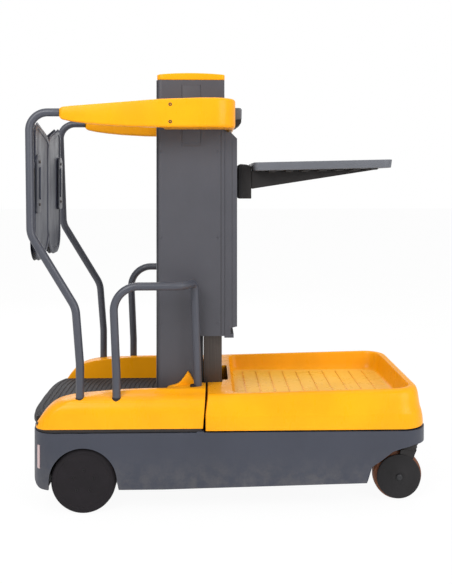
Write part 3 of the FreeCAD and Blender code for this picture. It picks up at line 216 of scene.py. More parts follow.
def rubber(name, colour, roughness, scale=700.0, dust=0.3, shine=0.5):
    """Solid rubber: fine pores, dusty patches and scuffs."""
    g = Graph(name)
    patch = g.noise(11.0, 5.0, 0.65)
    fine = g.noise(90.0, 4.0, 0.7)
    shade = g.mix(g.ramp(patch, 0.35, 0.7), tone(colour, 0.85), tone(colour, 1.2))
    dusty = tone([0.05 + 1.6 * c for c in colour], 1.0)
    g.set(Base_Color=g.mix(g.ramp(fine, 0.52, 0.8, 0.0, dust), shade, dusty))
    g.set(Roughness=g.ramp(patch, 0.3, 0.75, roughness * 0.9, min(1.0, roughness * 1.1)))
    g.set(Specular_IOR_Level=shine)
    g.bump((g.noise(scale, 3.0), 0.25, 0.0004), (patch, 0.1, 0.001), round_edges=0.002)


# Its pale span paints light from above onto the load tray's floor and rib tops.
coated("yellow_cover", (0.8, 0.318, 0.004), 0.3, grain=500.0, grain_strength=0.02, wear=0.2, dust=0.02,
       worn=(0.85, 0.42, 0.05), edge=0.003, shine=0.14, pale=(0.375, 0.389))
coated("skirt_grey", (0.034, 0.038, 0.054), 0.45, wear=0.3, dust=0.1, worn=(0.14, 0.14, 0.16),
       low_dirt=0.3, shine=0.4)
coated("column_grey", (0.05, 0.05, 0.06), 0.48, wear=0.25, dust=0.1, worn=(0.15, 0.15, 0.16),
       shine=0.4)
coated("rail_grey", (0.046, 0.049, 0.064), 0.42, grain=1400.0, grain_strength=0.12, wear=0.3, dust=0.1,
       worn=(0.13, 0.13, 0.14), shine=0.5)
coated("frame_black", (0.02, 0.018, 0.018), 0.6, wear=0.3, dust=0.2, worn=(0.1, 0.1, 0.1), shine=0.3)
steel("mast_steel", (0.088, 0.076, 0.07), 0.4)
rubber("tyre_black", (0.012, 0.01, 0.012), 0.8, dust=0.05, shine=0.2)
rubber("hub_black", (0.01, 0.009, 0.01), 0.6, dust=0.04, shine=0.3)
rubber("caster_tread", (0.17, 0.055, 0.02), 0.6, dust=0.25, shine=0.4)
rubber("mat_rubber", (0.035, 0.034, 0.037), 0.75, dust=0.25, shine=0.3)
coated("leaf_plastic", (0.026, 0.03, 0.05), 0.4, grain=700.0, grain_strength=0.2, wear=0.1, dust=0.06,
       shine=0.4)
coated("shelf_grey", (0.095, 0.1, 0.115), 0.45, grain=700.0, grain_strength=0.2, wear=0.1, dust=0.1,
       shine=0.4)
coated("console_black", (0.014, 0.014, 0.016), 0.55, grain=500.0, grain_strength=0.3, wear=0.1, dust=0.1,
       shine=0.4)
# The lens colour also paints the highlight strips on the skirt's rear corners.
coated("lamp_lens", (0.46, 0.33, 0.33), 0.2, grain=300.0, grain_strength=0.05, wear=0.1, dust=0.1,
       coat=0.6)
coated("battery_case", (0.03, 0.03, 0.033), 0.55, wear=0.3, dust=0.3, worn=(0.15, 0.15, 0.15),
       shine=0.4)
coated("glass_dark", (0.006, 0.007, 0.009), 0.08, grain=200.0, grain_strength=0.01, wear=0.0, dust=0.05,
       coat=0.8)
coated("button_red", (0.42, 0.012, 0.01), 0.3, grain=300.0, grain_strength=0.05, wear=0.1, dust=0.05,
       coat=0.3)

for row in frame["record"]["subparts"]:
    target = nodes[row["node"]]
    target.data.materials.clear()
    target.data.materials.append(MATERIALS[row["material_slot"]])


# Surface helpers: every new form is a grid of points worked out as whole arrays

def mesh_object(name, points, faces, material, body, smooth_angle=35.0):
    """A mesh from an array of points and lists of faces, shaded smooth up to an angle."""
    mesh = bpy.data.meshes.new(name)
    mesh.from_pydata(points.reshape(-1, 3), [], faces)
    mesh.shade_smooth()
    mesh.set_sharp_from_angle(angle=math.radians(smooth_angle))
    mesh.materials.append(MATERIALS[material])
    made = bpy.data.objects.new(name, mesh)
    scene.collection.objects.link(made)
    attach(made, body)
    return made


def stand_for(pieces, node):
    """Hides one solid, which the given pieces stand in for."""
    for piece in pieces:
        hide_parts(node)


def whole_turn(count):
    """Evenly spaced angles round a circle."""
    return np.linspace(0, 2 * math.pi, count, endpoint=False)


def beside(side, near, far):
    """Two distances from the centre line as rising values of Y on one side."""
    return sorted((side * near, side * far))


def oblong(a_low, a_high, b_low, b_high, radius, high_radius=None):
    """Corners of a rectangle in a plane, with one radius, or another at its second end."""
    other = radius if high_radius is None else high_radius
    return [(a_low, b_low, radius), (a_high, b_low, other), (a_high, b_high, other), (a_low, b_high, radius)]


def grid_faces(rows, columns, flip=False):
    """Quads of a grid that closes along its columns."""
    row = np.arange(rows - 1)[:, None] * columns
    column = np.arange(columns)[None, :]
    following = (column + 1) % columns
    quads = np.stack([row + column, row + following, row + columns + following, row + columns + column], -1)
    if flip:
        quads = quads[..., ::-1]
    return quads.reshape(-1, 4).tolist()


def stack_rings(name, rings, material, body, flip=False, smooth_angle=35.0):
    """A closed form through rings of points, with a flat face over its first and last ring."""
    rows, columns, _ = rings.shape
    faces = grid_faces(rows, columns, flip)
    first = list(range(columns))
    last = list(range((rows - 1) * columns, rows * columns))
    faces += [first, last[::-1]] if flip else [first[::-1], last]
    return mesh_object(name, rings, faces, material, body, smooth_angle)


def rounded_loop(corners, radii, arc=8, run=1):
    """A polygon with circular arcs at its corners, as rows of points in a plane.

    Each arc is the conic through its two tangent points that pulls towards the corner with
    the cosine of half the turn as its weight. Corners (..., n, 2) and radii (..., n) may be
    stacked, one polygon to a row.
    """
    corners = np.asarray(corners, float)
    radii = np.broadcast_to(np.asarray(radii, float), corners.shape[:-1])
    before = np.roll(corners, 1, -2) - corners
    after = np.roll(corners, -1, -2) - corners
    long_before = np.linalg.norm(before, axis=-1, keepdims=True)
    long_after = np.linalg.norm(after, axis=-1, keepdims=True)
    before = before / long_before
    after = after / long_after
    half = np.arccos(np.clip((before * after).sum(-1), -0.99999, 0.99999)) / 2
    reach = radii / np.tan(half)
    reach = np.minimum(reach, 0.49 * np.minimum(long_before, long_after)[..., 0])[..., None]
    start = corners + before * reach
    end = corners + after * reach
    t = np.linspace(0, 1, arc)[:, None]
    weight = np.sin(half)[..., None, None]
    top = ((1 - t) ** 2 * start[..., None, :] + 2 * weight * t * (1 - t) * corners[..., None, :]
           + t ** 2 * end[..., None, :])
    bends = top / ((1 - t) ** 2 + 2 * weight * t * (1 - t) + t ** 2)
    s = (np.arange(1, run + 1) / (run + 1))[:, None]
    runs = end[..., None, :] * (1 - s) + np.roll(start, -1, -2)[..., None, :] * s
    both = np.concatenate([bends, runs], -2)
    return both.reshape(*both.shape[:-3], -1, 2)


def drawn_in(corners, radii, distances):
    """A counter-clockwise polygon drawn in by each distance, its arcs shrunk or grown to match."""
    corners = np.asarray(corners, float)
    radii = np.asarray(radii, float)
    along = np.roll(corners, -1, 0) - corners
    along /= np.linalg.norm(along, axis=1, keepdims=True)
    inward = np.stack([-along[:, 1], along[:, 0]], 1)
    previous = np.roll(inward, 1, 0)
    shift = (inward + previous) / (1 + (inward * previous).sum(1, keepdims=True))
    back = np.roll(along, 1, 0)
    convex = np.sign(back[:, 0] * along[:, 1] - back[:, 1] * along[:, 0])
    distances = np.asarray(distances, float)[:, None]
    moved = corners[None] + shift[None] * distances[..., None]
    return moved, np.maximum(radii[None] - convex[None] * distances, 0.0004)


def softened(low_round, high_round, steps=6):
    """Shares of height and insets for a side with quarter-round edges below and above."""
    angle = np.linspace(0, math.pi / 2, steps)
    inset = np.concatenate([low_round * (1 - np.sin(angle)), high_round * (1 - np.cos(angle))])
    rise_low = low_round * (1 - np.cos(angle))
    rise_high = -high_round * (1 - np.sin(angle))
    return inset, rise_low, rise_high


def to_space(flat, across, plane):
    """In-plane points and the coordinate across them, as points in space."""
    a, b = flat[..., 0], flat[..., 1]
    return np.stack({"XY": (a, b, across), "XZ": (a, across, b), "YZ": (across, a, b)}[plane], -1)


def slab(name, plane, corners, low, high, edge, material, body, arc=8, run=1, bend=None):
    """A plate with rounded corners and softened edges, between two values across its plane.

    Corners are (first, second, radius). Bend, if given, moves the finished points.
    """
    corners = np.asarray(corners, float)
    outline, radii = corners[:, :2], corners[:, 2]
    area = (outline[:, 0] * np.roll(outline[:, 1], -1) - np.roll(outline[:, 0], -1) * outline[:, 1]).sum()
    if area < 0:
        outline, radii = outline[::-1], radii[::-1]
    inset, rise_low, rise_high = softened(edge, edge)
    flat = rounded_loop(*drawn_in(outline, radii, inset), arc, run)
    level = np.concatenate([low + rise_low, high + rise_high])
    points = to_space(flat, np.broadcast_to(level[:, None], flat.shape[:2]), plane)
    if bend is not None:
        points = bend(points)
    return stack_rings(name, points, material, body, flip=plane == "XZ")


def turned_about(name, centre, profile, material, body, side=1.0, count=96, smooth_angle=30.0):
    """A form turned about Y: profile rows are (distance outward along Y, radius)."""
    profile = np.asarray(profile, float)
    angle = whole_turn(count)
    x = profile[:, 1:2] * np.cos(angle)
    z = profile[:, 1:2] * np.sin(angle)
    y = np.broadcast_to(profile[:, :1] * side, x.shape)
    points = np.stack([x, y, z], -1) + np.asarray(centre, float)
    return stack_rings(name, points, material, body, flip=side > 0, smooth_angle=smooth_angle)


def smooth_rows(table, count):
    """Rows of a table joined by a Catmull-Rom curve, sampled evenly by row number."""
    table = np.asarray(table, float)
    padded = np.vstack([2 * table[0] - table[1], table, 2 * table[-1] - table[-2]])
    at = np.linspace(0, len(table) - 1, count)
    low = np.minimum(at.astype(int), len(table) - 2)
    t = (at - low)[:, None]
    a, b, c, d = (padded[low + k] for k in range(4))
    return 0.5 * (2 * b + (c - a) * t + (2 * a - 5 * b + 4 * c - d) * t ** 2
                  + (3 * b - a - 3 * c + d) * t ** 3)


def upright(name, x, y, rows, material, body, count=40, smooth_angle=40.0):
    """A form turned about a vertical line: rows are (radius, height), from the bottom up."""
    rows = np.asarray(rows, float)
    angle = whole_turn(count)
    points = np.stack([x + rows[:, :1] * np.cos(angle), y + rows[:, :1] * np.sin(angle),
                       rows[:, 1:] + 0 * angle], -1)
    return stack_rings(name, points, material, body, smooth_angle=smooth_angle)


def bolt_head(name, place, toward, radius, material, body, height=0.0042):
    """A round-topped screw with a six-sided socket, along an axis of the frame."""
    angle = whole_turn(36)
    six = np.cos(math.pi / 6) / np.cos((angle + math.pi / 6) % (math.pi / 3) - math.pi / 6)
    # share of the radius, share of the height, whether six-sided
    rows = ((1.00, -0.5, 0), (1.00, 0.45, 0), (0.93, 0.75, 0), (0.78, 0.95, 0), (0.58, 1.0, 0),
            (0.5, 1.0, 1), (0.47, 0.92, 1), (0.46, 0.35, 1))
    rings = np.stack([np.stack([height * up + 0 * angle,
                                radius * wide * (six if hexagon else 1) * np.cos(angle),
                                radius * wide * (six if hexagon else 1) * np.sin(angle)], -1)
                      for wide, up, hexagon in rows])
    toward = np.asarray(toward, float)
    first = np.array((0.0, 1.0, 0.0)) if abs(toward[1]) < 0.5 else np.array((0.0, 0.0, 1.0))
    second = np.cross(toward, first)
    points = rings @ np.stack([toward, first, second]) + np.asarray(place, float)
    return stack_rings(name, points, material, body, smooth_angle=30.0)


# Load tray

TRAY_SLOPE = 0.022
RIM_START = -0.071
RIB_COUNT, RIB_FIRST, RIB_PITCH, RIB_HALF = 10, 0.095, 0.0625, 0.0028
WALL_STEPS, CAVITY_STEPS = 60, 48


def tray_rings():
    """Rings from the tray's lower edge up its wall, over the flat rim and down to its floor.

    The wall and the cavity are smoothed apart, so that the notch for the mast ends on the rim.
    """
    # height, rear end, front end, half width, corner radius, share of the slope
    wall = (
        (0.319, -0.079, 0.789, 0.375, 0.106, 0.0),
        (0.330, -0.079, 0.789, 0.375, 0.106, 0.0),
        (0.350, -0.079, 0.787, 0.3735, 0.105, 0.0),
        (0.372, -0.079, 0.783, 0.3705, 0.104, 0.0),
        (0.379, -0.079, 0.7795, 0.3680, 0.103, 0.2),
        (0.395, -0.077, 0.7765, 0.3615, 0.101, 0.4),
        (0.417, -0.074, 0.7735, 0.3525, 0.098, 0.8),
        (0.430, -0.072, 0.7705, 0.3455, 0.095, 1.0),
        (0.438, -0.071, 0.7670, 0.3395, 0.092, 1.0),
        (0.4435, -0.0705, 0.7610, 0.3325, 0.088, 1.0),
        (0.4460, -0.070, 0.7540, 0.3250, 0.083, 1.0),
    )
    cavity = (
        (0.4460, 0.022, 0.7480, 0.3190, 0.080, 1.0),
        (0.4445, 0.027, 0.7430, 0.3140, 0.077, 1.0),
        (0.4390, 0.030, 0.7400, 0.3110, 0.075, 1.0),
        (0.4280, 0.031, 0.7380, 0.3080, 0.074, 0.9),
        (0.4120, 0.033, 0.7350, 0.3040, 0.073, 0.7),
        (0.3980, 0.036, 0.7310, 0.3000, 0.071, 0.3),
        (0.3880, 0.041, 0.7250, 0.2940, 0.067, 0.0),
        (0.3825, 0.048, 0.7170, 0.2870, 0.061, 0.0),
        (0.3800, 0.058, 0.7070, 0.2770, 0.053, 0.0),
    )
    rows = np.vstack([smooth_rows(wall, WALL_STEPS), smooth_rows(cavity, CAVITY_STEPS)])
    notch = np.repeat((1.0, 0.03), (WALL_STEPS, CAVITY_STEPS))[:, None]
    z, rear, front, half, radius, slope = (column[:, None] for column in rows.T)
    ones = np.ones_like(rear)
    wide, tongue = 0.153 * ones, 0.12 * ones
    inner_end, deep_end = -0.01, 0.014
    inner = rear + (inner_end - rear) * notch
    deep = rear + (deep_end - rear) * notch
    xs = np.hstack([front, front, rear, rear, inner, inner, deep, deep, inner, inner, rear, rear])
    ys = np.hstack([-half, half, half, wide, wide, tongue, tongue, -tongue, -tongue, -wide, -wide, -half])
    back = 0.006 + (radius - 0.02) * (1 - notch) * 0.6
    radii = np.hstack([radius, radius, back] + [0.002 * ones] * 8 + [back])
    flat = rounded_loop(np.stack([xs, ys], -1), radii, arc=12, run=6)
    height = z + slope * TRAY_SLOPE * (flat[..., 0] - RIM_START)
    return to_space(flat, height, "XY")


tray = stack_rings("load_tray_cover", tray_rings(), "yellow_cover", "chassis", smooth_angle=48.0)
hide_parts("load_tray")
for index in range(RIB_COUNT):
    x = RIB_FIRST + RIB_PITCH * index
    slab(f"tray_rib_{index}", "XY", oblong(x - RIB_HALF, x + RIB_HALF, -0.264, 0.264, 0.0025),
         0.3785, 0.383, 0.0016, "yellow_cover", "chassis", arc=4)
slab("mast_pocket_floor", "XY", oblong(-0.072, 0.016, -0.154, 0.154, 0.002), 0.31, 0.322, 0.001,
     "frame_black", "chassis", arc=3)
slab("tray_underside", "XY", oblong(-0.06, 0.774, -0.36, 0.36, 0.09), 0.3085, 0.3205, 0.002,
     "frame_black", "chassis")


# Platform cover

# height, set back from the rear end, drawn in from the side, corner radius
COVER_ROWS = (
    (0.328, 0.0120, 0.0005, 0.090),
    (0.331, 0.0122, 0.0000, 0.090),
    (0.345, 0.0170, 0.0010, 0.089),
    (0.359, 0.0260, 0.0025, 0.088),
    (0.375, 0.0370, 0.0042, 0.087),
    (0.390, 0.0500, 0.0065, 0.085),
    (0.403, 0.0640, 0.0100, 0.083),
    (0.414, 0.0800, 0.0150, 0.080),
    (0.423, 0.0980, 0.0210, 0.077),
    (0.430, 0.1200, 0.0240, 0.074),
    (0.436, 0.1500, 0.0320, 0.070),
    (0.4415, 0.1900, 0.0450, 0.062),
    (0.4465, 0.2500, 0.0650, 0.048),
    (0.4525, 0.3300, 0.0810, 0.026),
    (0.4555, 0.4000, 0.0880, 0.018),
    (0.4570, 0.4700, 0.0940, 0.012),
)
COVER_STEPS, SWEEP_STEPS = 64, 16
COVER_REAR, COVER_SIDE = -0.75, 0.375
SADDLE_DEPTH = 0.0115


def saddle(points):
    """The plateau beside the column lowered towards the standing space.

    The drop grows evenly along the truck, by a smoothstep across it, and only near the top.
    """
    x, y, z = points[..., 0], np.abs(points[..., 1]), points[..., 2]
    along = np.clip((-0.105 - x) / 0.131, 0, 1)
    across = np.clip((0.2705 - y) / 0.022, 0, 1)
    across = across ** 2 * (3 - 2 * across)
    high = np.clip((z - 0.4) / 0.05, 0, 1)
    points[..., 2] = z - SADDLE_DEPTH * along * across * high
    return points


def cover_half(name, side):
    """One side of the platform cover: a rounded nose, a ridge, and the plateau beside the column.

    The last rings sweep the column side of the plateau out to the ridge, which closes the top.
    Each moves on by a fraction of a millimetre, so that no two rings share an edge.
    """
    rows = smooth_rows(COVER_ROWS, COVER_STEPS)
    rows = np.vstack([rows, np.repeat(rows[-1:], SWEEP_STEPS, 0)])
    sweep = np.concatenate([np.zeros(COVER_STEPS), np.linspace(0, 1, SWEEP_STEPS + 1)[1:]])[:, None]
    z, back, side_in, radius = (column[:, None] for column in rows.T)
    front = -0.0895 + (z - 0.321) / 0.136 * 0.0105 - 0.0004 * sweep
    rear = COVER_REAR + back + 0.002 * sweep
    outer = COVER_SIDE - side_in - 0.002 * sweep
    top_round = np.clip((z - 0.449) / 0.008, 0, 1) ** 2 * 0.006
    well = 0.2655 + top_round + 0.001 * sweep
    gap = 0.1925 + top_round
    gap = gap + (well - 0.0002 - gap) * sweep
    step = -0.236 + top_round + 0.0004 * sweep
    ones = np.ones_like(z)
    xs = np.hstack([rear, step, step, front, front, rear])
    ys = np.hstack([well, well, gap, gap, outer, outer])
    tight = np.minimum(0.012, (well - gap) * 0.4 + 0.0001)
    radii = np.hstack([0.004 * ones, tight, np.minimum(0.004, tight), 0.002 * ones, 0.004 * ones, radius])
    flat = rounded_loop(np.stack([xs, ys], -1), radii, arc=14, run=9)
    points = saddle(to_space(flat, np.broadcast_to(z, flat.shape[:2]).copy(), "XY"))
    points[..., 1] *= side
    return stack_rings(name, points, "yellow_cover", "carriage", flip=side < 0, smooth_angle=48.0)


cover_sides = [cover_half(f"platform_cover_{name}", side) for name, side in SIDES]
ENTRY_HALF, ENTRY_BOW, BOW_POWER = 0.265, 0.033, 4.5


def entry_x(y, inset=0.0):
    """The bowed entry edge: one less a power of the share of the half width, times the bow."""
    return COVER_REAR + inset - ENTRY_BOW * (1 - np.abs(np.asarray(y) / ENTRY_HALF) ** BOW_POWER)


def entry_lip():
    """The cover's lip below the entry edge, a rounded strip along the bow: rows are (inward, height)."""
    y = np.linspace(-ENTRY_HALF, ENTRY_HALF, 41)[:, None]
    profile = np.array([(0.03, 0.33), (0.004, 0.33), (0.0015, 0.3285), (0.0, 0.326), (0.0, 0.317),
                        (0.0015, 0.3145), (0.004, 0.3138), (0.03, 0.3138)])
    x = entry_x(y, 0.007) + profile[None, :, 0]
    points = np.stack([x, np.broadcast_to(y, x.shape), np.broadcast_to(profile[None, :, 1], x.shape)], -1)
    return stack_rings("platform_cover_lip", points, "frame_black", "carriage")


lip = entry_lip()
slab("platform_base", "XY", oblong(-0.749, -0.092, -0.3705, 0.3705, 0.092, 0.003), 0.3136, 0.329, 0.002,
     "frame_black", "carriage", arc=20)
fins = []
for name, side in SIDES:
    fins.append(slab(
        f"column_fin_{name}", "XZ",
        [(-0.228, 0.44, 0.001), (-0.102, 0.44, 0.001), (-0.102, 0.4585, 0.002), (-0.123, 0.459, 0.014),
         (-0.14, 0.491, 0.03), (-0.1505, 0.5065, 0.003), (-0.165, 0.484, 0.05), (-0.188, 0.456, 0.05),
         (-0.228, 0.4455, 0.001)],
        *beside(side, 0.192, 0.212), 0.003, "yellow_cover", "carriage", arc=10))
stand_for((*cover_sides, lip, *fins), "platform_shell")


# Ribbed mat that wraps over the bowed entry edge

def ribbed_mat():
    """Mat surface: ribs across the truck that follow the bowed edge, wrap over it and run down its face.

    The first parameter is the distance along the mat from the edge, and each rib is a rounded
    wave of it. The second runs across the truck.
    """
    half, nose, margin_width = 0.2635, 0.024, 0.01
    column_end, top, underside, foot_level = -0.285, 0.3545, 0.3482, 0.32
    pitch, rib_height = 0.0205, 0.0034
    y = np.linspace(-half, half, 61)
    edge = entry_x(y, 0.0035)
    run = np.linspace(0.0, 1.0, 250)[:, None]
    start = edge + nose
    flat_x = column_end + (start - column_end) * run
    angle = np.linspace(0, math.pi / 2, 13)[1:, None]
    drop = np.linspace(top - nose - 0.001, foot_level, 8)[:, None]
    length = np.concatenate([start - flat_x, -nose * angle + 0 * y,
                             drop - top + nose - nose * math.pi / 2 + 0 * y])
    wave = np.abs(((length / pitch) % 1.0) - 0.5) * 2
    rib = rib_height * np.clip((wave - 0.18) / 0.24, 0, 1)
    margin = np.clip((half - np.abs(y)) / margin_width, 0, 1)
    rib = rib * margin
    out = np.concatenate([0 * flat_x, np.sin(angle) + 0 * y, np.ones_like(drop) + 0 * y])
    up = np.concatenate([1 + 0 * flat_x, np.cos(angle) + 0 * y, 0 * drop + 0 * y])
    core_x = np.concatenate([flat_x, start - nose * np.sin(angle), edge + 0 * drop])
    core_z = np.concatenate([top + 0 * flat_x, top - nose + nose * np.cos(angle) + 0 * y, drop + 0 * y])
    across = np.broadcast_to(y, core_x.shape)
    surface = np.stack([core_x - out * rib, across, core_z + up * rib], -1)
    foot = np.stack([edge + 0.008, y, np.full_like(y, foot_level)], -1)[None]
    inner = np.stack([start + 0.004, y, np.full_like(y, underside)], -1)[None]
    back = np.stack([np.full_like(y, column_end), y, np.full_like(y, underside)], -1)[None]
    loop = np.concatenate([surface, foot, inner, back])
    return stack_rings("platform_mat_ribbed", loop.transpose(1, 0, 2), "mat_rubber", "carriage",
                       flip=True, smooth_angle=32.0)


mat = ribbed_mat()
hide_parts("platform_mat")


# Yoke and cap

YOKE_LOW, YOKE_DEPTH = 1.488, 0.12


def yoke_corners():
    """Plan of the yoke as corners and arc radii, both arms alike."""
    right = [(-0.651, 0.297, 0.01), (-0.651, 0.328, 0.024), (-0.282, 0.34, 0.4), (0.04, 0.34, 0.09)]
    inside = [(-0.0015, 0.19, 0.004), (-0.252, 0.19, 0.004), (-0.252, 0.297, 0.03)]
    left = [(x, -y, r) for x, y, r in reversed(right)]
    inside_left = [(x, -y, r) for x, y, r in reversed(inside)]
    return right + left + inside_left + inside


def yoke_bend(points):
    """Heights moved between the yoke's sloping underside and its sloping top.

    Both follow straight lines between places along X, and the arms' tips are pinched by a circle.
    """
    x = points[..., 0]
    top = np.interp(x, (-0.656, -0.477, -0.262, -0.1), (1.57, 1.584, 1.6005, 1.6065))
    low = np.interp(x, (-0.656, -0.6, -0.54, -0.477, -0.37, -0.262),
                    (1.5225, 1.512, 1.504, 1.498, 1.492, 1.49))
    share = (points[..., 2] - YOKE_LOW) / YOKE_DEPTH
    tip = np.clip((-0.627 - x) / 0.024, 0, 1)
    pinch = 1 - 0.42 * (1 - np.sqrt(1 - tip ** 2))
    middle = (top + low) / 2
    bent = points.copy()
    bent[..., 2] = middle + (share - 0.5) * (top - low) * pinch
    return bent


yoke = slab("yoke_cover", "XY", yoke_corners(), YOKE_LOW, YOKE_LOW + YOKE_DEPTH, 0.012, "yellow_cover",
            "carriage", arc=16, run=10, bend=yoke_bend)
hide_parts("yoke")


def cap_bend(points):
    """The cap's top raised to a shallow arch along the truck and a slight crown across it."""
    bent = points.copy()
    share = np.clip((points[..., 2] - 1.697) / 0.022, 0, 1)
    bent[..., 2] += share * (0.0065 * (1 - ((points[..., 0] + 0.142) / 0.137) ** 2)
                             - 0.003 * (points[..., 1] / 0.19) ** 2)
    return bent


cap = slab("column_cap_cover", "XY", oblong(-0.279, -0.001, -0.188, 0.188, 0.024, 0.012), 1.6935, 1.719,
           0.004, "yellow_cover", "carriage", arc=10, run=20, bend=cap_bend)
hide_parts("column_cap")


# Gate leaves

LEAF_CORNERS = ((0.232, 1.497, 0.026), (0.03, 1.447, 0.02), (0.005, 1.424, 0.04),
                (0.005, 0.984, 0.104), (0.232, 0.984, 0.05))
LEAF_HALF_DEPTH, LEAF_BORDER, LEAF_DIP = 0.011, 0.006, 0.003
PLATE_FACE = -0.7485


def paddle(name, side):
    """The moulded leaf: rings over its border and across both faces to a flat middle.

    The border is a quarter round on each face, and the face dips behind it by a smoothstep.
    """
    corners = np.array(LEAF_CORNERS)
    outline, radii = corners[::-1, :2], corners[::-1, 2]
    angle = np.linspace(0, math.pi / 2, 7)
    steps = np.linspace(0, 1, 6)
    border, depth = LEAF_BORDER, LEAF_HALF_DEPTH
    inset = np.concatenate([border + 0.012 + 0.01 * (1 - steps), border * (1 - np.sin(angle)),
                            border * (1 - np.cos(angle)), border + 0.012 + 0.01 * steps])
    dip = LEAF_DIP * (3 * steps ** 2 - 2 * steps ** 3)
    level = np.concatenate([-depth + dip[::-1], -depth + border * (1 - np.cos(angle)),
                            depth - border * (1 - np.sin(angle)), depth - dip])
    flat = rounded_loop(*drawn_in(outline, radii, inset), 16, 4)
    flat[..., 0] *= side
    points = to_space(flat, GATE_X + np.broadcast_to(level[:, None], flat.shape[:2]), "YZ")
    return stack_rings(f"gate_paddle_{name}", points, "leaf_plastic", f"gate_{name}", flip=side < 0,
                       smooth_angle=40.0)


def gate_leaf(name, side):
    """The leaf with its mounting plate, ridge, hinge tongue, sleeve and two screws."""
    body = f"gate_{name}"
    near, far, low, high = side * 0.183, side * 0.257, 1.15, 1.387
    leaf = [
        paddle(name, side),
        slab(f"gate_plate_{name}", "YZ",
             [(near, low, 0.014), (far, low, 0.014), (far, high, 0.034), (near, high, 0.034)],
             -0.7572, PLATE_FACE, 0.0022, "rail_grey", body, arc=10),
        slab(f"gate_ridge_{name}", "YZ", oblong(side * 0.199, side * 0.219, 1.205, 1.338, 0.01),
             -0.7495, -0.744, 0.0024, "leaf_plastic", body),
        slab(f"gate_tongue_{name}", "XY", oblong(-0.7755, -0.7595, side * 0.226, side * 0.272, 0.001),
             1.201, 1.329, 0.0015, "leaf_plastic", body, arc=3),
        upright(f"gate_sleeve_{name}", GATE_X, side * GATE_Y,
                [(0.0083, 1.2003), (0.0118, 1.2003), (0.013, 1.2018), (0.013, 1.3282),
                 (0.0118, 1.3297), (0.0083, 1.3297)], "frame_black", body),
    ]
    for index, up in enumerate((1.185, 1.357)):
        leaf.append(bolt_head(f"gate_bolt_{name}_{index}", (PLATE_FACE, side * 0.2155, up), (1, 0, 0), 0.0065,
                              "mast_steel", body))
    stand_for(leaf, f"gate_leaf_{name}")


for name, side in SIDES:
    gate_leaf(name, side)


# Wheels: profile rows are (distance outward along Y, radius)

DRIVE_DISC = ((0.2905, 0.016), (0.2905, 0.0895), (0.2925, 0.0915), (0.3525, 0.0915), (0.3562, 0.0895),
              (0.3572, 0.086), (0.3564, 0.078), (0.3552, 0.07), (0.356, 0.062), (0.3575, 0.056),
              (0.358, 0.03), (0.3574, 0.0265), (0.353, 0.025), (0.3515, 0.012))
DRIVE_TREAD = ((0.2835, 0.0918), (0.2828, 0.1), (0.2822, 0.113), (0.284, 0.1195), (0.288, 0.1238),
               (0.2945, 0.1249), (0.322, 0.125), (0.3495, 0.1249), (0.356, 0.1238), (0.36, 0.1195),
               (0.3618, 0.113), (0.3612, 0.104), (0.36, 0.1025), (0.3606, 0.0965), (0.36, 0.0918))
NUT_CIRCLE, NUT_RADIUS, NUT_SEAT = 0.042, 0.0062, 0.3577
CASTER_TREAD_HALF = ((0.0235, 0.0762), (0.0242, 0.08), (0.0236, 0.088), (0.0215, 0.0936), (0.017, 0.0964),
                     (0.01, 0.0974))
CASTER_DISC_HALF = ((0.0215, 0.0102), (0.0215, 0.022), (0.015, 0.026), (0.012, 0.05), (0.015, 0.066),
                    (0.0205, 0.071), (0.0205, 0.076))
CASTER_GUARD = ((0.0348, 0.02), (0.0352, 0.086), (0.036, 0.0876), (0.0376, 0.0882), (0.039, 0.0872),
                (0.0398, 0.085), (0.04, 0.08), (0.0412, 0.073), (0.0422, 0.062), (0.0424, 0.034),
                (0.044, 0.03), (0.0446, 0.024), (0.044, 0.018), (0.0436, 0.01))
CASTER_CAP = ((0.043, 0.013), (0.0462, 0.0128), (0.0485, 0.0115), (0.05, 0.0085), (0.0507, 0.0045),
              (0.0509, 0.001))


def mirrored(half, middle=()):
    """A profile that is alike on both faces of a wheel, from the inner face to the outer one."""
    return [(-out, radius) for out, radius in half] + list(middle) + list(half[::-1])


def drive_wheel(name, side):
    """Disc, tyre and five nuts of a drive wheel."""
    body, axle = f"drive_wheel_{name}", (DRIVE_X, 0.0, DRIVE_Z)
    disc = turned_about(f"drive_disc_{name}", axle, DRIVE_DISC, "hub_black", body, side, 128)
    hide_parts(f"drive_hub_{name}")
    tyre = turned_about(f"drive_tread_{name}", axle, DRIVE_TREAD, "tyre_black", body, side, 160)
    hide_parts(f"drive_tyre_{name}")
    for index, turn in enumerate(whole_turn(5) + 0.3):
        seat = (DRIVE_X + NUT_CIRCLE * math.cos(turn), side * NUT_SEAT, DRIVE_Z + NUT_CIRCLE * math.sin(turn))
        bolt_head(f"wheel_nut_{name}_{index}", seat, (0, side, 0), NUT_RADIUS, "hub_black", body)


def caster(name, side):
    """Tread and disc of a caster's wheel, and the guard and cap held by its fork."""
    wheel, fork, axle = f"caster_wheel_{name}", f"caster_{name}", (CASTER_X, side * CASTER_Y, CASTER_Z)
    tread = turned_about(f"caster_tread_{name}", axle, mirrored(CASTER_TREAD_HALF, [(0.0, CASTER_Z)]),
                         "caster_tread", wheel, side, 128)
    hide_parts(f"caster_tyre_{name}")
    disc = turned_about(f"caster_disc_{name}", axle, mirrored(CASTER_DISC_HALF), "hub_black", wheel, side, 96)
    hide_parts(f"caster_rim_{name}")
    turned_about(f"caster_guard_{name}", axle, CASTER_GUARD, "hub_black", fork, side, 128)
    turned_about(f"caster_cap_{name}", axle, CASTER_CAP, "console_black", fork, side, 48, 50.0)


for name, side in SIDES:
    drive_wheel(name, side)
    caster(name, side)


# Wheel arch liners, lamps, trim and a painted corner highlight on the chassis

SKIRT_BEND_X, SKIRT_BEND_Y = -0.6525, 0.275


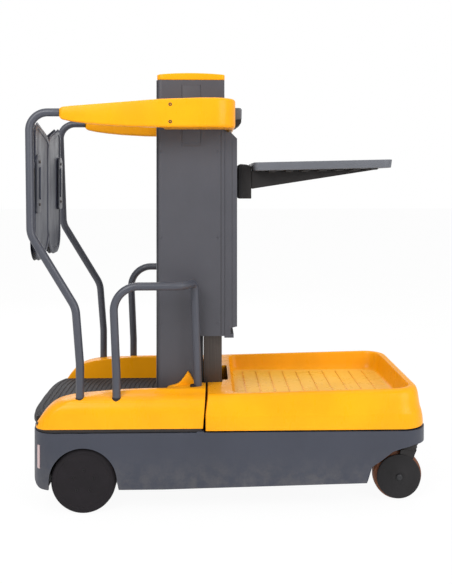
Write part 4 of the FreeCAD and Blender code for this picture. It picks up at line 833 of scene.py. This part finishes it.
def arch_liner(name, side):
    """An L section swept round the drive axle: a roof over the tyre and a wall inside it.

    Section rows are (radius from the axle, distance outward along Y).
    """
    turning = np.linspace(math.radians(14.0), math.radians(187.0), 72)[:, None]
    section = np.array([(0.045, 0.269), (0.045, 0.2662), (0.1337, 0.266), (0.1345, 0.2668), (0.1345, 0.364),
                        (0.1337, 0.365), (0.132, 0.365), (0.1312, 0.364), (0.1312, 0.269)])
    x = DRIVE_X + section[None, :, 0] * np.cos(turning)
    z = DRIVE_Z + section[None, :, 0] * np.sin(turning)
    y = np.broadcast_to(side * section[None, :, 1], x.shape)
    stack_rings(f"arch_liner_{name}", np.stack([x, y, z], -1), "frame_black", "chassis", flip=side > 0)


def corner_highlight(name, side):
    """A painted highlight: a thin pale strip swept round the skirt's rounded corner; section rows are
    (radius, height).
    """
    angle = np.linspace(math.radians(42), math.radians(50), 10)[:, None]
    section = np.array([(0.0985, 0.172), (0.1012, 0.172), (0.1022, 0.1745), (0.1026, 0.18), (0.1026, 0.254),
                        (0.1022, 0.2595), (0.1012, 0.262), (0.0985, 0.262)])
    x = SKIRT_BEND_X - section[None, :, 0] * np.cos(angle)
    y = side * (SKIRT_BEND_Y + section[None, :, 0] * np.sin(angle))
    z = np.broadcast_to(section[None, :, 1], x.shape)
    stack_rings(f"corner_highlight_{name}", np.stack([x, y, z], -1), "lamp_lens", "chassis", flip=side < 0)


def rear_lamp(name, side):
    """A lens with four ribs, in a thin bezel on the skirt's rear face."""
    slab(f"lamp_bezel_{name}", "YZ", oblong(side * 0.226, side * 0.284, 0.138, 0.234, 0.008),
         -0.7532, -0.7515, 0.0007, "frame_black", "chassis")
    lens = slab(f"lamp_lens_{name}", "YZ", oblong(side * 0.23, side * 0.28, 0.142, 0.23, 0.006),
                -0.754, -0.744, 0.0012, "lamp_lens", "chassis")
    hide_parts(f"rear_lamp_{name}")
    for index in range(4):
        low = 0.1555 + 0.0195 * index
        slab(f"lamp_rib_{name}_{index}", "YZ", oblong(side * 0.235, side * 0.275, low, low + 0.003, 0.001),
             -0.7546, -0.753, 0.0005, "lamp_lens", "chassis", arc=4)


def skirt_catch(name, side):
    """A tapered catch on the skirt's top edge, below the seam between the covers."""
    slab(f"skirt_catch_{name}", "XZ",
         [(-0.115, 0.3, 0.001), (-0.083, 0.3, 0.001), (-0.085, 0.3165, 0.005), (-0.113, 0.3165, 0.005)],
         *beside(side, 0.352, 0.3755), 0.0016, "skirt_grey", "chassis", arc=6)


for name, side in SIDES:
    arch_liner(name, side)
    # A pale strip painted where a highlight streak falls on the skirt's rounded corner.
    corner_highlight(name, side)
    rear_lamp(name, side)
    skirt_catch(name, side)


# Rail feet, hinge lugs and pins

# foot, x, distance from the centre line, height of the cover there
RAIL_FEET = (
    ("handrail", -0.567, 0.33, 0.4345),
    ("grab_front", -0.425, 0.334, 0.4365),
    ("grab_rear", -0.124, 0.24, 0.457),
)
HINGE_LEVELS = (1.176, 1.33)


def rail_boots(name, side):
    """A rounded rubber boot where each rail enters the cover."""
    for foot, x, y, low in RAIL_FEET:
        upright(f"boot_{foot}_{name}", x, side * y,
                [(0.0182, 0.385), (0.0182, low + 0.0005), (0.0178, low + 0.0025), (0.017, low + 0.0036),
                 (0.0161, low + 0.0032)], "hub_black", "carriage")


def gate_hinge(name, side):
    """Two lugs on the handrail, rounded about the pin, and the pin through them."""
    back, front, near, far = -0.7793, -0.7557, side * 0.263, side * 0.31
    hinge = []
    for index, low in enumerate(HINGE_LEVELS):
        hinge.append(slab(f"hinge_lug_{name}_{index}", "XY",
                          [(back, near, 0.0115), (front, near, 0.0115), (front, far, 0.001),
                           (back, far, 0.001)],
                          low + 0.0003, low + 0.0237, 0.0022, "rail_grey", "carriage", arc=14))
    hinge.append(upright(f"hinge_pin_{name}", GATE_X, side * GATE_Y,
                         [(0.005, 1.1715), (0.0068, 1.172), (0.0079, 1.1735), (0.0079, 1.356),
                          (0.0068, 1.3575), (0.005, 1.358)], "mast_steel", "carriage"))
    stand_for(hinge, f"gate_hinge_{name}")


for name, side in SIDES:
    rail_boots(name, side)
    gate_hinge(name, side)


# Details on the column, the yoke and its housing

YOKE_SCREWS = ((-0.2165, 1.5785), (-0.2165, 1.511))
COLUMN_SCREWS = [(x, z) for x in (-0.262, -0.03) for z in (0.7, 1.05, 1.4)]


def column_trim(name, side):
    """Screws, seams and the raised panel on one side of the column and the yoke."""
    for index, (x, z) in enumerate(YOKE_SCREWS):
        bolt_head(f"yoke_screw_{name}_{index}", (x, side * 0.3392, z), (0, side, 0), 0.0068, "frame_black",
                  "carriage", height=0.0022)
    for index, (x, z) in enumerate(COLUMN_SCREWS):
        bolt_head(f"column_screw_{name}_{index}", (x, side * 0.19, z), (0, side, 0), 0.005, "column_grey",
                  "carriage", height=0.0018)
    slab(f"column_seam_{name}", "XZ", oblong(-0.017, -0.015, 0.65, 1.486, 0.0006),
         *beside(side, 0.188, 0.1905), 0.0004, "frame_black", "carriage", arc=3)
    slab(f"guide_seam_{name}", "XZ", oblong(0.029, 0.0302, 0.655, 1.44, 0.0005),
         *beside(side, 0.184, 0.1864), 0.0003, "frame_black", "carriage", arc=3)
    slab(f"panel_{name}", "XZ", oblong(-0.1745, -0.1015, 1.438, 1.676, 0.006),
         *beside(side, 0.186, 0.1896), 0.001, "column_grey", "carriage", arc=6)


for name, side in SIDES:
    column_trim(name, side)
slab("column_shield", "YZ", oblong(-0.149, 0.149, 0.37, 0.655, 0.003), -0.1035, -0.091, 0.0012,
     "console_black", "carriage", arc=4)
slab("column_base_collar", "XY", oblong(-0.287, -0.09, -0.1935, 0.1935, 0.026, 0.004), 0.356, 0.372,
     0.003, "hub_black", "carriage")


def yoke_housing():
    """A light cover over a dark base, at the front of the yoke."""
    cover = slab("housing_cover", "XZ",
                 [(0.03, 1.54, 0.002), (0.0735, 1.54, 0.004), (0.0745, 1.59, 0.01), (0.03, 1.5915, 0.002)],
                 -0.082, 0.082, 0.006, "shelf_grey", "carriage", arc=10)
    base = slab("housing_base", "XZ",
                [(0.03, 1.508, 0.002), (0.05, 1.508, 0.016), (0.0725, 1.526, 0.018), (0.0725, 1.541, 0.001),
                 (0.03, 1.541, 0.002)],
                -0.0795, 0.0795, 0.005, "frame_black", "carriage", arc=10)
    stand_for((cover, base), "yoke_housing")


yoke_housing()


# Operator console: a moulded body with a sloped panel, a dark display, keys and a stop button

PANEL_X, PANEL_Z = -0.3615, 1.5925
PANEL_RUN, PANEL_FALL = 0.0605, 0.0275
PANEL_ALONG = np.array((-PANEL_RUN, -PANEL_FALL)) / math.hypot(PANEL_RUN, PANEL_FALL)
PANEL_OUT = np.array((PANEL_ALONG[1], -PANEL_ALONG[0]))
KEY_PLACES = (-0.122, -0.098, -0.074, 0.074)
KEY_HALF = 0.009
BUTTON_Y = 0.115


def on_panel(points):
    """Flat pieces made round zero, laid on the console's sloped panel."""
    moved = points.copy()
    for axis, origin, pick in ((0, PANEL_X, 0), (2, PANEL_Z, 1)):
        moved[..., axis] = origin + points[..., 0] * PANEL_ALONG[pick] + points[..., 2] * PANEL_OUT[pick]
    return moved


def panel_slab(name, low, high, y_low, y_high, rise, radius, material):
    """A rounded plate on the sloped panel, between two distances down it."""
    return slab(name, "XY", oblong(low, high, y_low, y_high, radius), -0.002, rise, 0.0012, material,
                "carriage", arc=6, bend=on_panel)


def stop_button():
    """A mushroom button turned about the panel's outward line: rows are (radius, height)."""
    angle = whole_turn(40)
    rows = ((0.01, -0.001), (0.01, 0.006), (0.016, 0.0062), (0.017, 0.008), (0.0165, 0.011),
            (0.0135, 0.0134), (0.008, 0.0145), (0.0015, 0.0148))
    rings = np.stack([np.stack([r * np.cos(angle), BUTTON_Y + r * np.sin(angle), h + 0 * angle], -1)
                      for r, h in rows])
    return stack_rings("console_stop_button", on_panel(rings), "button_red", "carriage", smooth_angle=50.0)


console = [
    slab("console_body", "XZ",
         [(-0.2805, 1.5345, 0.002), (-0.2805, 1.6035, 0.002), (-0.331, 1.6055, 0.014),
          (-0.3915, 1.578, 0.012), (-0.3915, 1.553, 0.012), (-0.348, 1.5345, 0.014)],
         -0.1695, 0.1695, 0.007, "console_black", "carriage", arc=10),
    panel_slab("console_panel", -0.027, 0.027, -0.15, 0.15, 0.0016, 0.008, "column_grey"),
    panel_slab("console_display", -0.018, 0.018, -0.042, 0.042, 0.003, 0.003, "glass_dark"),
    stop_button(),
]
for index, y in enumerate(KEY_PLACES):
    console.append(panel_slab(f"console_key_{index}", -KEY_HALF, KEY_HALF, y - KEY_HALF, y + KEY_HALF,
                              0.0042, 0.003, "shelf_grey"))
stand_for(console, "control_console")


# Upper shelf: a tilted tray with a rounded wall, its ribbed underside and tapered braces

TILT = math.radians(1.3)
TILT_X, SHELF_LEVEL = 0.117, 1.322


def tilted(points):
    """Level pieces turned up at the front about the shelf's lower back edge."""
    moved = points.copy()
    x, z = points[..., 0] - TILT_X, points[..., 2] - SHELF_LEVEL
    moved[..., 0] = TILT_X + x * math.cos(TILT) - z * math.sin(TILT)
    moved[..., 2] = SHELF_LEVEL + x * math.sin(TILT) + z * math.cos(TILT)
    return moved


def shelf_rings():
    """Rings up the shelf's outer wall, over its rim and down to its floor.

    Heights and insets are quarter rounds at the foot, both edges of the rim and the floor.
    """
    angle = np.linspace(0, math.pi / 2, 6)
    up = np.concatenate([0.004 * (1 - np.cos(angle)), [0.018], 0.0315 + 0.0025 * np.sin(angle),
                         0.0315 + 0.0025 * np.cos(angle), [0.02], 0.0085 - 0.0045 * np.sin(angle)])
    inset = np.concatenate([0.004 + 0.004 * (1 - np.sin(angle)), [0.002], 0.0025 * (1 - np.cos(angle)),
                            0.003 + 0.002 * np.sin(angle), [0.0062], 0.0085 + 0.0045 * (1 - np.cos(angle))])
    plan = np.array(oblong(0.1185, 0.6965, -0.2005, 0.2005, 0.022, 0.045))
    flat = rounded_loop(*drawn_in(plan[:, :2], plan[:, 2], inset), 12, 8)
    return tilted(to_space(flat, np.broadcast_to(SHELF_LEVEL + up[:, None], flat.shape[:2]), "XY"))


def shelf_tray():
    """The tray and the seven ribs under it."""
    shelf = [stack_rings("shelf_tray_cover", shelf_rings(), "shelf_grey", "shelf", smooth_angle=40.0)]
    for index in range(7):
        x = 0.18 + 0.07 * index
        shelf.append(slab(f"shelf_rib_{index}", "XY", oblong(x, x + 0.03, -0.182, 0.182, 0.003), 1.315,
                          1.3245, 0.0015, "frame_black", "shelf", arc=4, bend=tilted))
    stand_for(shelf, "shelf_tray")


def shelf_brace():
    """Two tapered gussets below the tray, and the web that joins them at the slide."""
    braces = [slab("shelf_web", "YZ", oblong(-0.056, 0.056, 1.264, 1.3225, 0.003), 0.1165, 0.1265, 0.0015,
                   "frame_black", "shelf", arc=5)]
    for name, side in SIDES:
        y = side * 0.06
        braces.append(slab(
            f"shelf_gusset_{name}", "XZ",
            [(0.1165, 1.246, 0.003), (0.66, 1.33, 0.002), (0.662, 1.3345, 0.002), (0.1165, 1.3225, 0.002)],
            y - 0.005, y + 0.005, 0.0015, "frame_black", "shelf", arc=5))
    stand_for(braces, "shelf_brace")


def shelf_slide():
    """The slide's body and cheek, and two necked shoes that run in the guide."""
    slider = [
        slab("shelf_slide_body", "XZ",
             [(0.0602, 1.2045, 0.003), (0.1155, 1.2045, 0.003), (0.1155, 1.342, 0.003), (0.096, 1.35, 0.014),
              (0.0602, 1.353, 0.01)],
             -0.07, 0.07, 0.003, "frame_black", "shelf"),
        slab("shelf_slide_cheek", "XZ", oblong(0.059, 0.076, 1.209, 1.345, 0.002), -0.0735, 0.0735, 0.003,
             "hub_black", "shelf", arc=6),
    ]
    for index, low in enumerate((1.214, 1.292)):
        slider.append(slab(f"shelf_shoe_neck_{index}", "YZ", oblong(-0.0137, 0.0137, low, low + 0.04, 0.001),
                           0.0361, 0.061, 0.0005, "frame_black", "shelf", arc=3))
        slider.append(slab(f"shelf_shoe_{index}", "YZ", oblong(-0.04, 0.04, low, low + 0.04, 0.003), 0.0242,
                           0.0436, 0.001, "frame_black", "shelf", arc=4))
    stand_for(slider, "shelf_slide")


shelf_tray()
shelf_brace()
shelf_slide()


# Surroundings

def floor_material():
    """Pale floor that keeps a faint shadow of the truck."""
    g = Graph("floor_pale")
    soft = g.noise(2.0, 3.0)
    shade = g.mix(g.ramp(soft, 0.3, 0.7), (0.93, 0.93, 0.93, 1), (0.97, 0.97, 0.97, 1))
    g.set(Base_Color=shade, Roughness=0.9)
    path = g.add("ShaderNodeLightPath")
    lit = g.add("ShaderNodeEmission")
    lit.inputs["Color"].default_value = (1, 1, 1, 1)
    lit.inputs["Strength"].default_value = 1.0
    both = g.add("ShaderNodeMixShader")
    seen = g.math("MAXIMUM", path.outputs["Is Camera Ray"], path.outputs["Is Glossy Ray"])
    seen = g.math("MAXIMUM", seen, path.outputs["Is Transmission Ray"])
    g.join(g.math("MULTIPLY", seen, 0.94), both.inputs["Fac"])
    g.join(g.shader.outputs["BSDF"], both.inputs[1])
    g.join(lit.outputs["Emission"], both.inputs[2])
    g.join(both.outputs["Shader"], g.tree.nodes["Material Output"].inputs["Surface"])


floor_mesh = bpy.data.meshes.new("floor")
floor_mesh.from_pydata([(-30, -30, 0), (30, -30, 0), (30, 30, 0), (-30, 30, 0)], [], [(0, 1, 2, 3)])
floor = bpy.data.objects.new("floor", floor_mesh)
scene.collection.objects.link(floor)
floor_material()
floor_mesh.materials.append(MATERIALS["floor_pale"])

world = bpy.data.worlds.new("studio")
scene.world = world
world.use_nodes = True
tree = world.node_tree
backing = tree.nodes["Background"]
backing.inputs["Color"].default_value = (1, 1, 1, 1)
path, seen, glow = (tree.nodes.new("ShaderNode" + kind) for kind in ("LightPath", "Math", "MapRange"))
seen.operation = "MAXIMUM"
tree.links.new(path.outputs["Is Camera Ray"], seen.inputs[0])
tree.links.new(path.outputs["Is Transmission Ray"], seen.inputs[1])
tree.links.new(seen.outputs["Value"], glow.inputs["Value"])
glow.inputs["To Min"].default_value = 0.7
glow.inputs["To Max"].default_value = 1.0
tree.links.new(glow.outputs["Result"], backing.inputs["Strength"])


LIGHT_AIM = (0.0, 0.0, 0.8)
# name, place, size, power in watts
LIGHTS = (
    ("key", (-2.2, -3.6, 3.6), 2.2, 140),
    ("fill", (3.2, -3.0, 2.4), 2.6, 105),
    ("top", (0.2, 0.4, 4.2), 3.0, 45),
    ("rear", (-1.0, 3.8, 2.6), 2.6, 45),
)


def area_light(name, place, size, power):
    """A square soft light that points at the truck's middle."""
    lamp = bpy.data.lights.new(name, "AREA")
    lamp.size = size
    lamp.energy = power
    made = bpy.data.objects.new(name, lamp)
    made.location = place
    toward = np.array(LIGHT_AIM) - np.array(place)
    flat = math.hypot(toward[0], toward[1])
    made.rotation_euler = (math.pi / 2 + math.atan2(toward[2], flat), 0.0,
                           math.atan2(toward[1], toward[0]) - math.pi / 2)
    scene.collection.objects.link(made)


for row in LIGHTS:
    area_light(*row)

# Camera: its eye in metres, and its picture's size, focal length and level point in pixels

EYE = (-0.0735, -3.22, 1.284)
FOCAL_PIXELS = 740.0
WIDE, TALL = 452, 584
LEVEL_POINT = (207.0, 180.0)
SENSOR = 36.0
camera_data = bpy.data.cameras.new("camera")
camera_data.sensor_fit = "VERTICAL"
camera_data.sensor_height = SENSOR
camera_data.lens = FOCAL_PIXELS / TALL * SENSOR
turn = math.atan((WIDE / 2 - LEVEL_POINT[0]) / FOCAL_PIXELS)
camera_data.shift_y = -(TALL / 2 - LEVEL_POINT[1]) / TALL
camera = bpy.data.objects.new("camera", camera_data)
camera.location = EYE
camera.rotation_euler = (math.pi / 2, 0.0, -turn)
scene.collection.objects.link(camera)
scene.camera = camera
scene.view_settings.view_transform = "Standard"
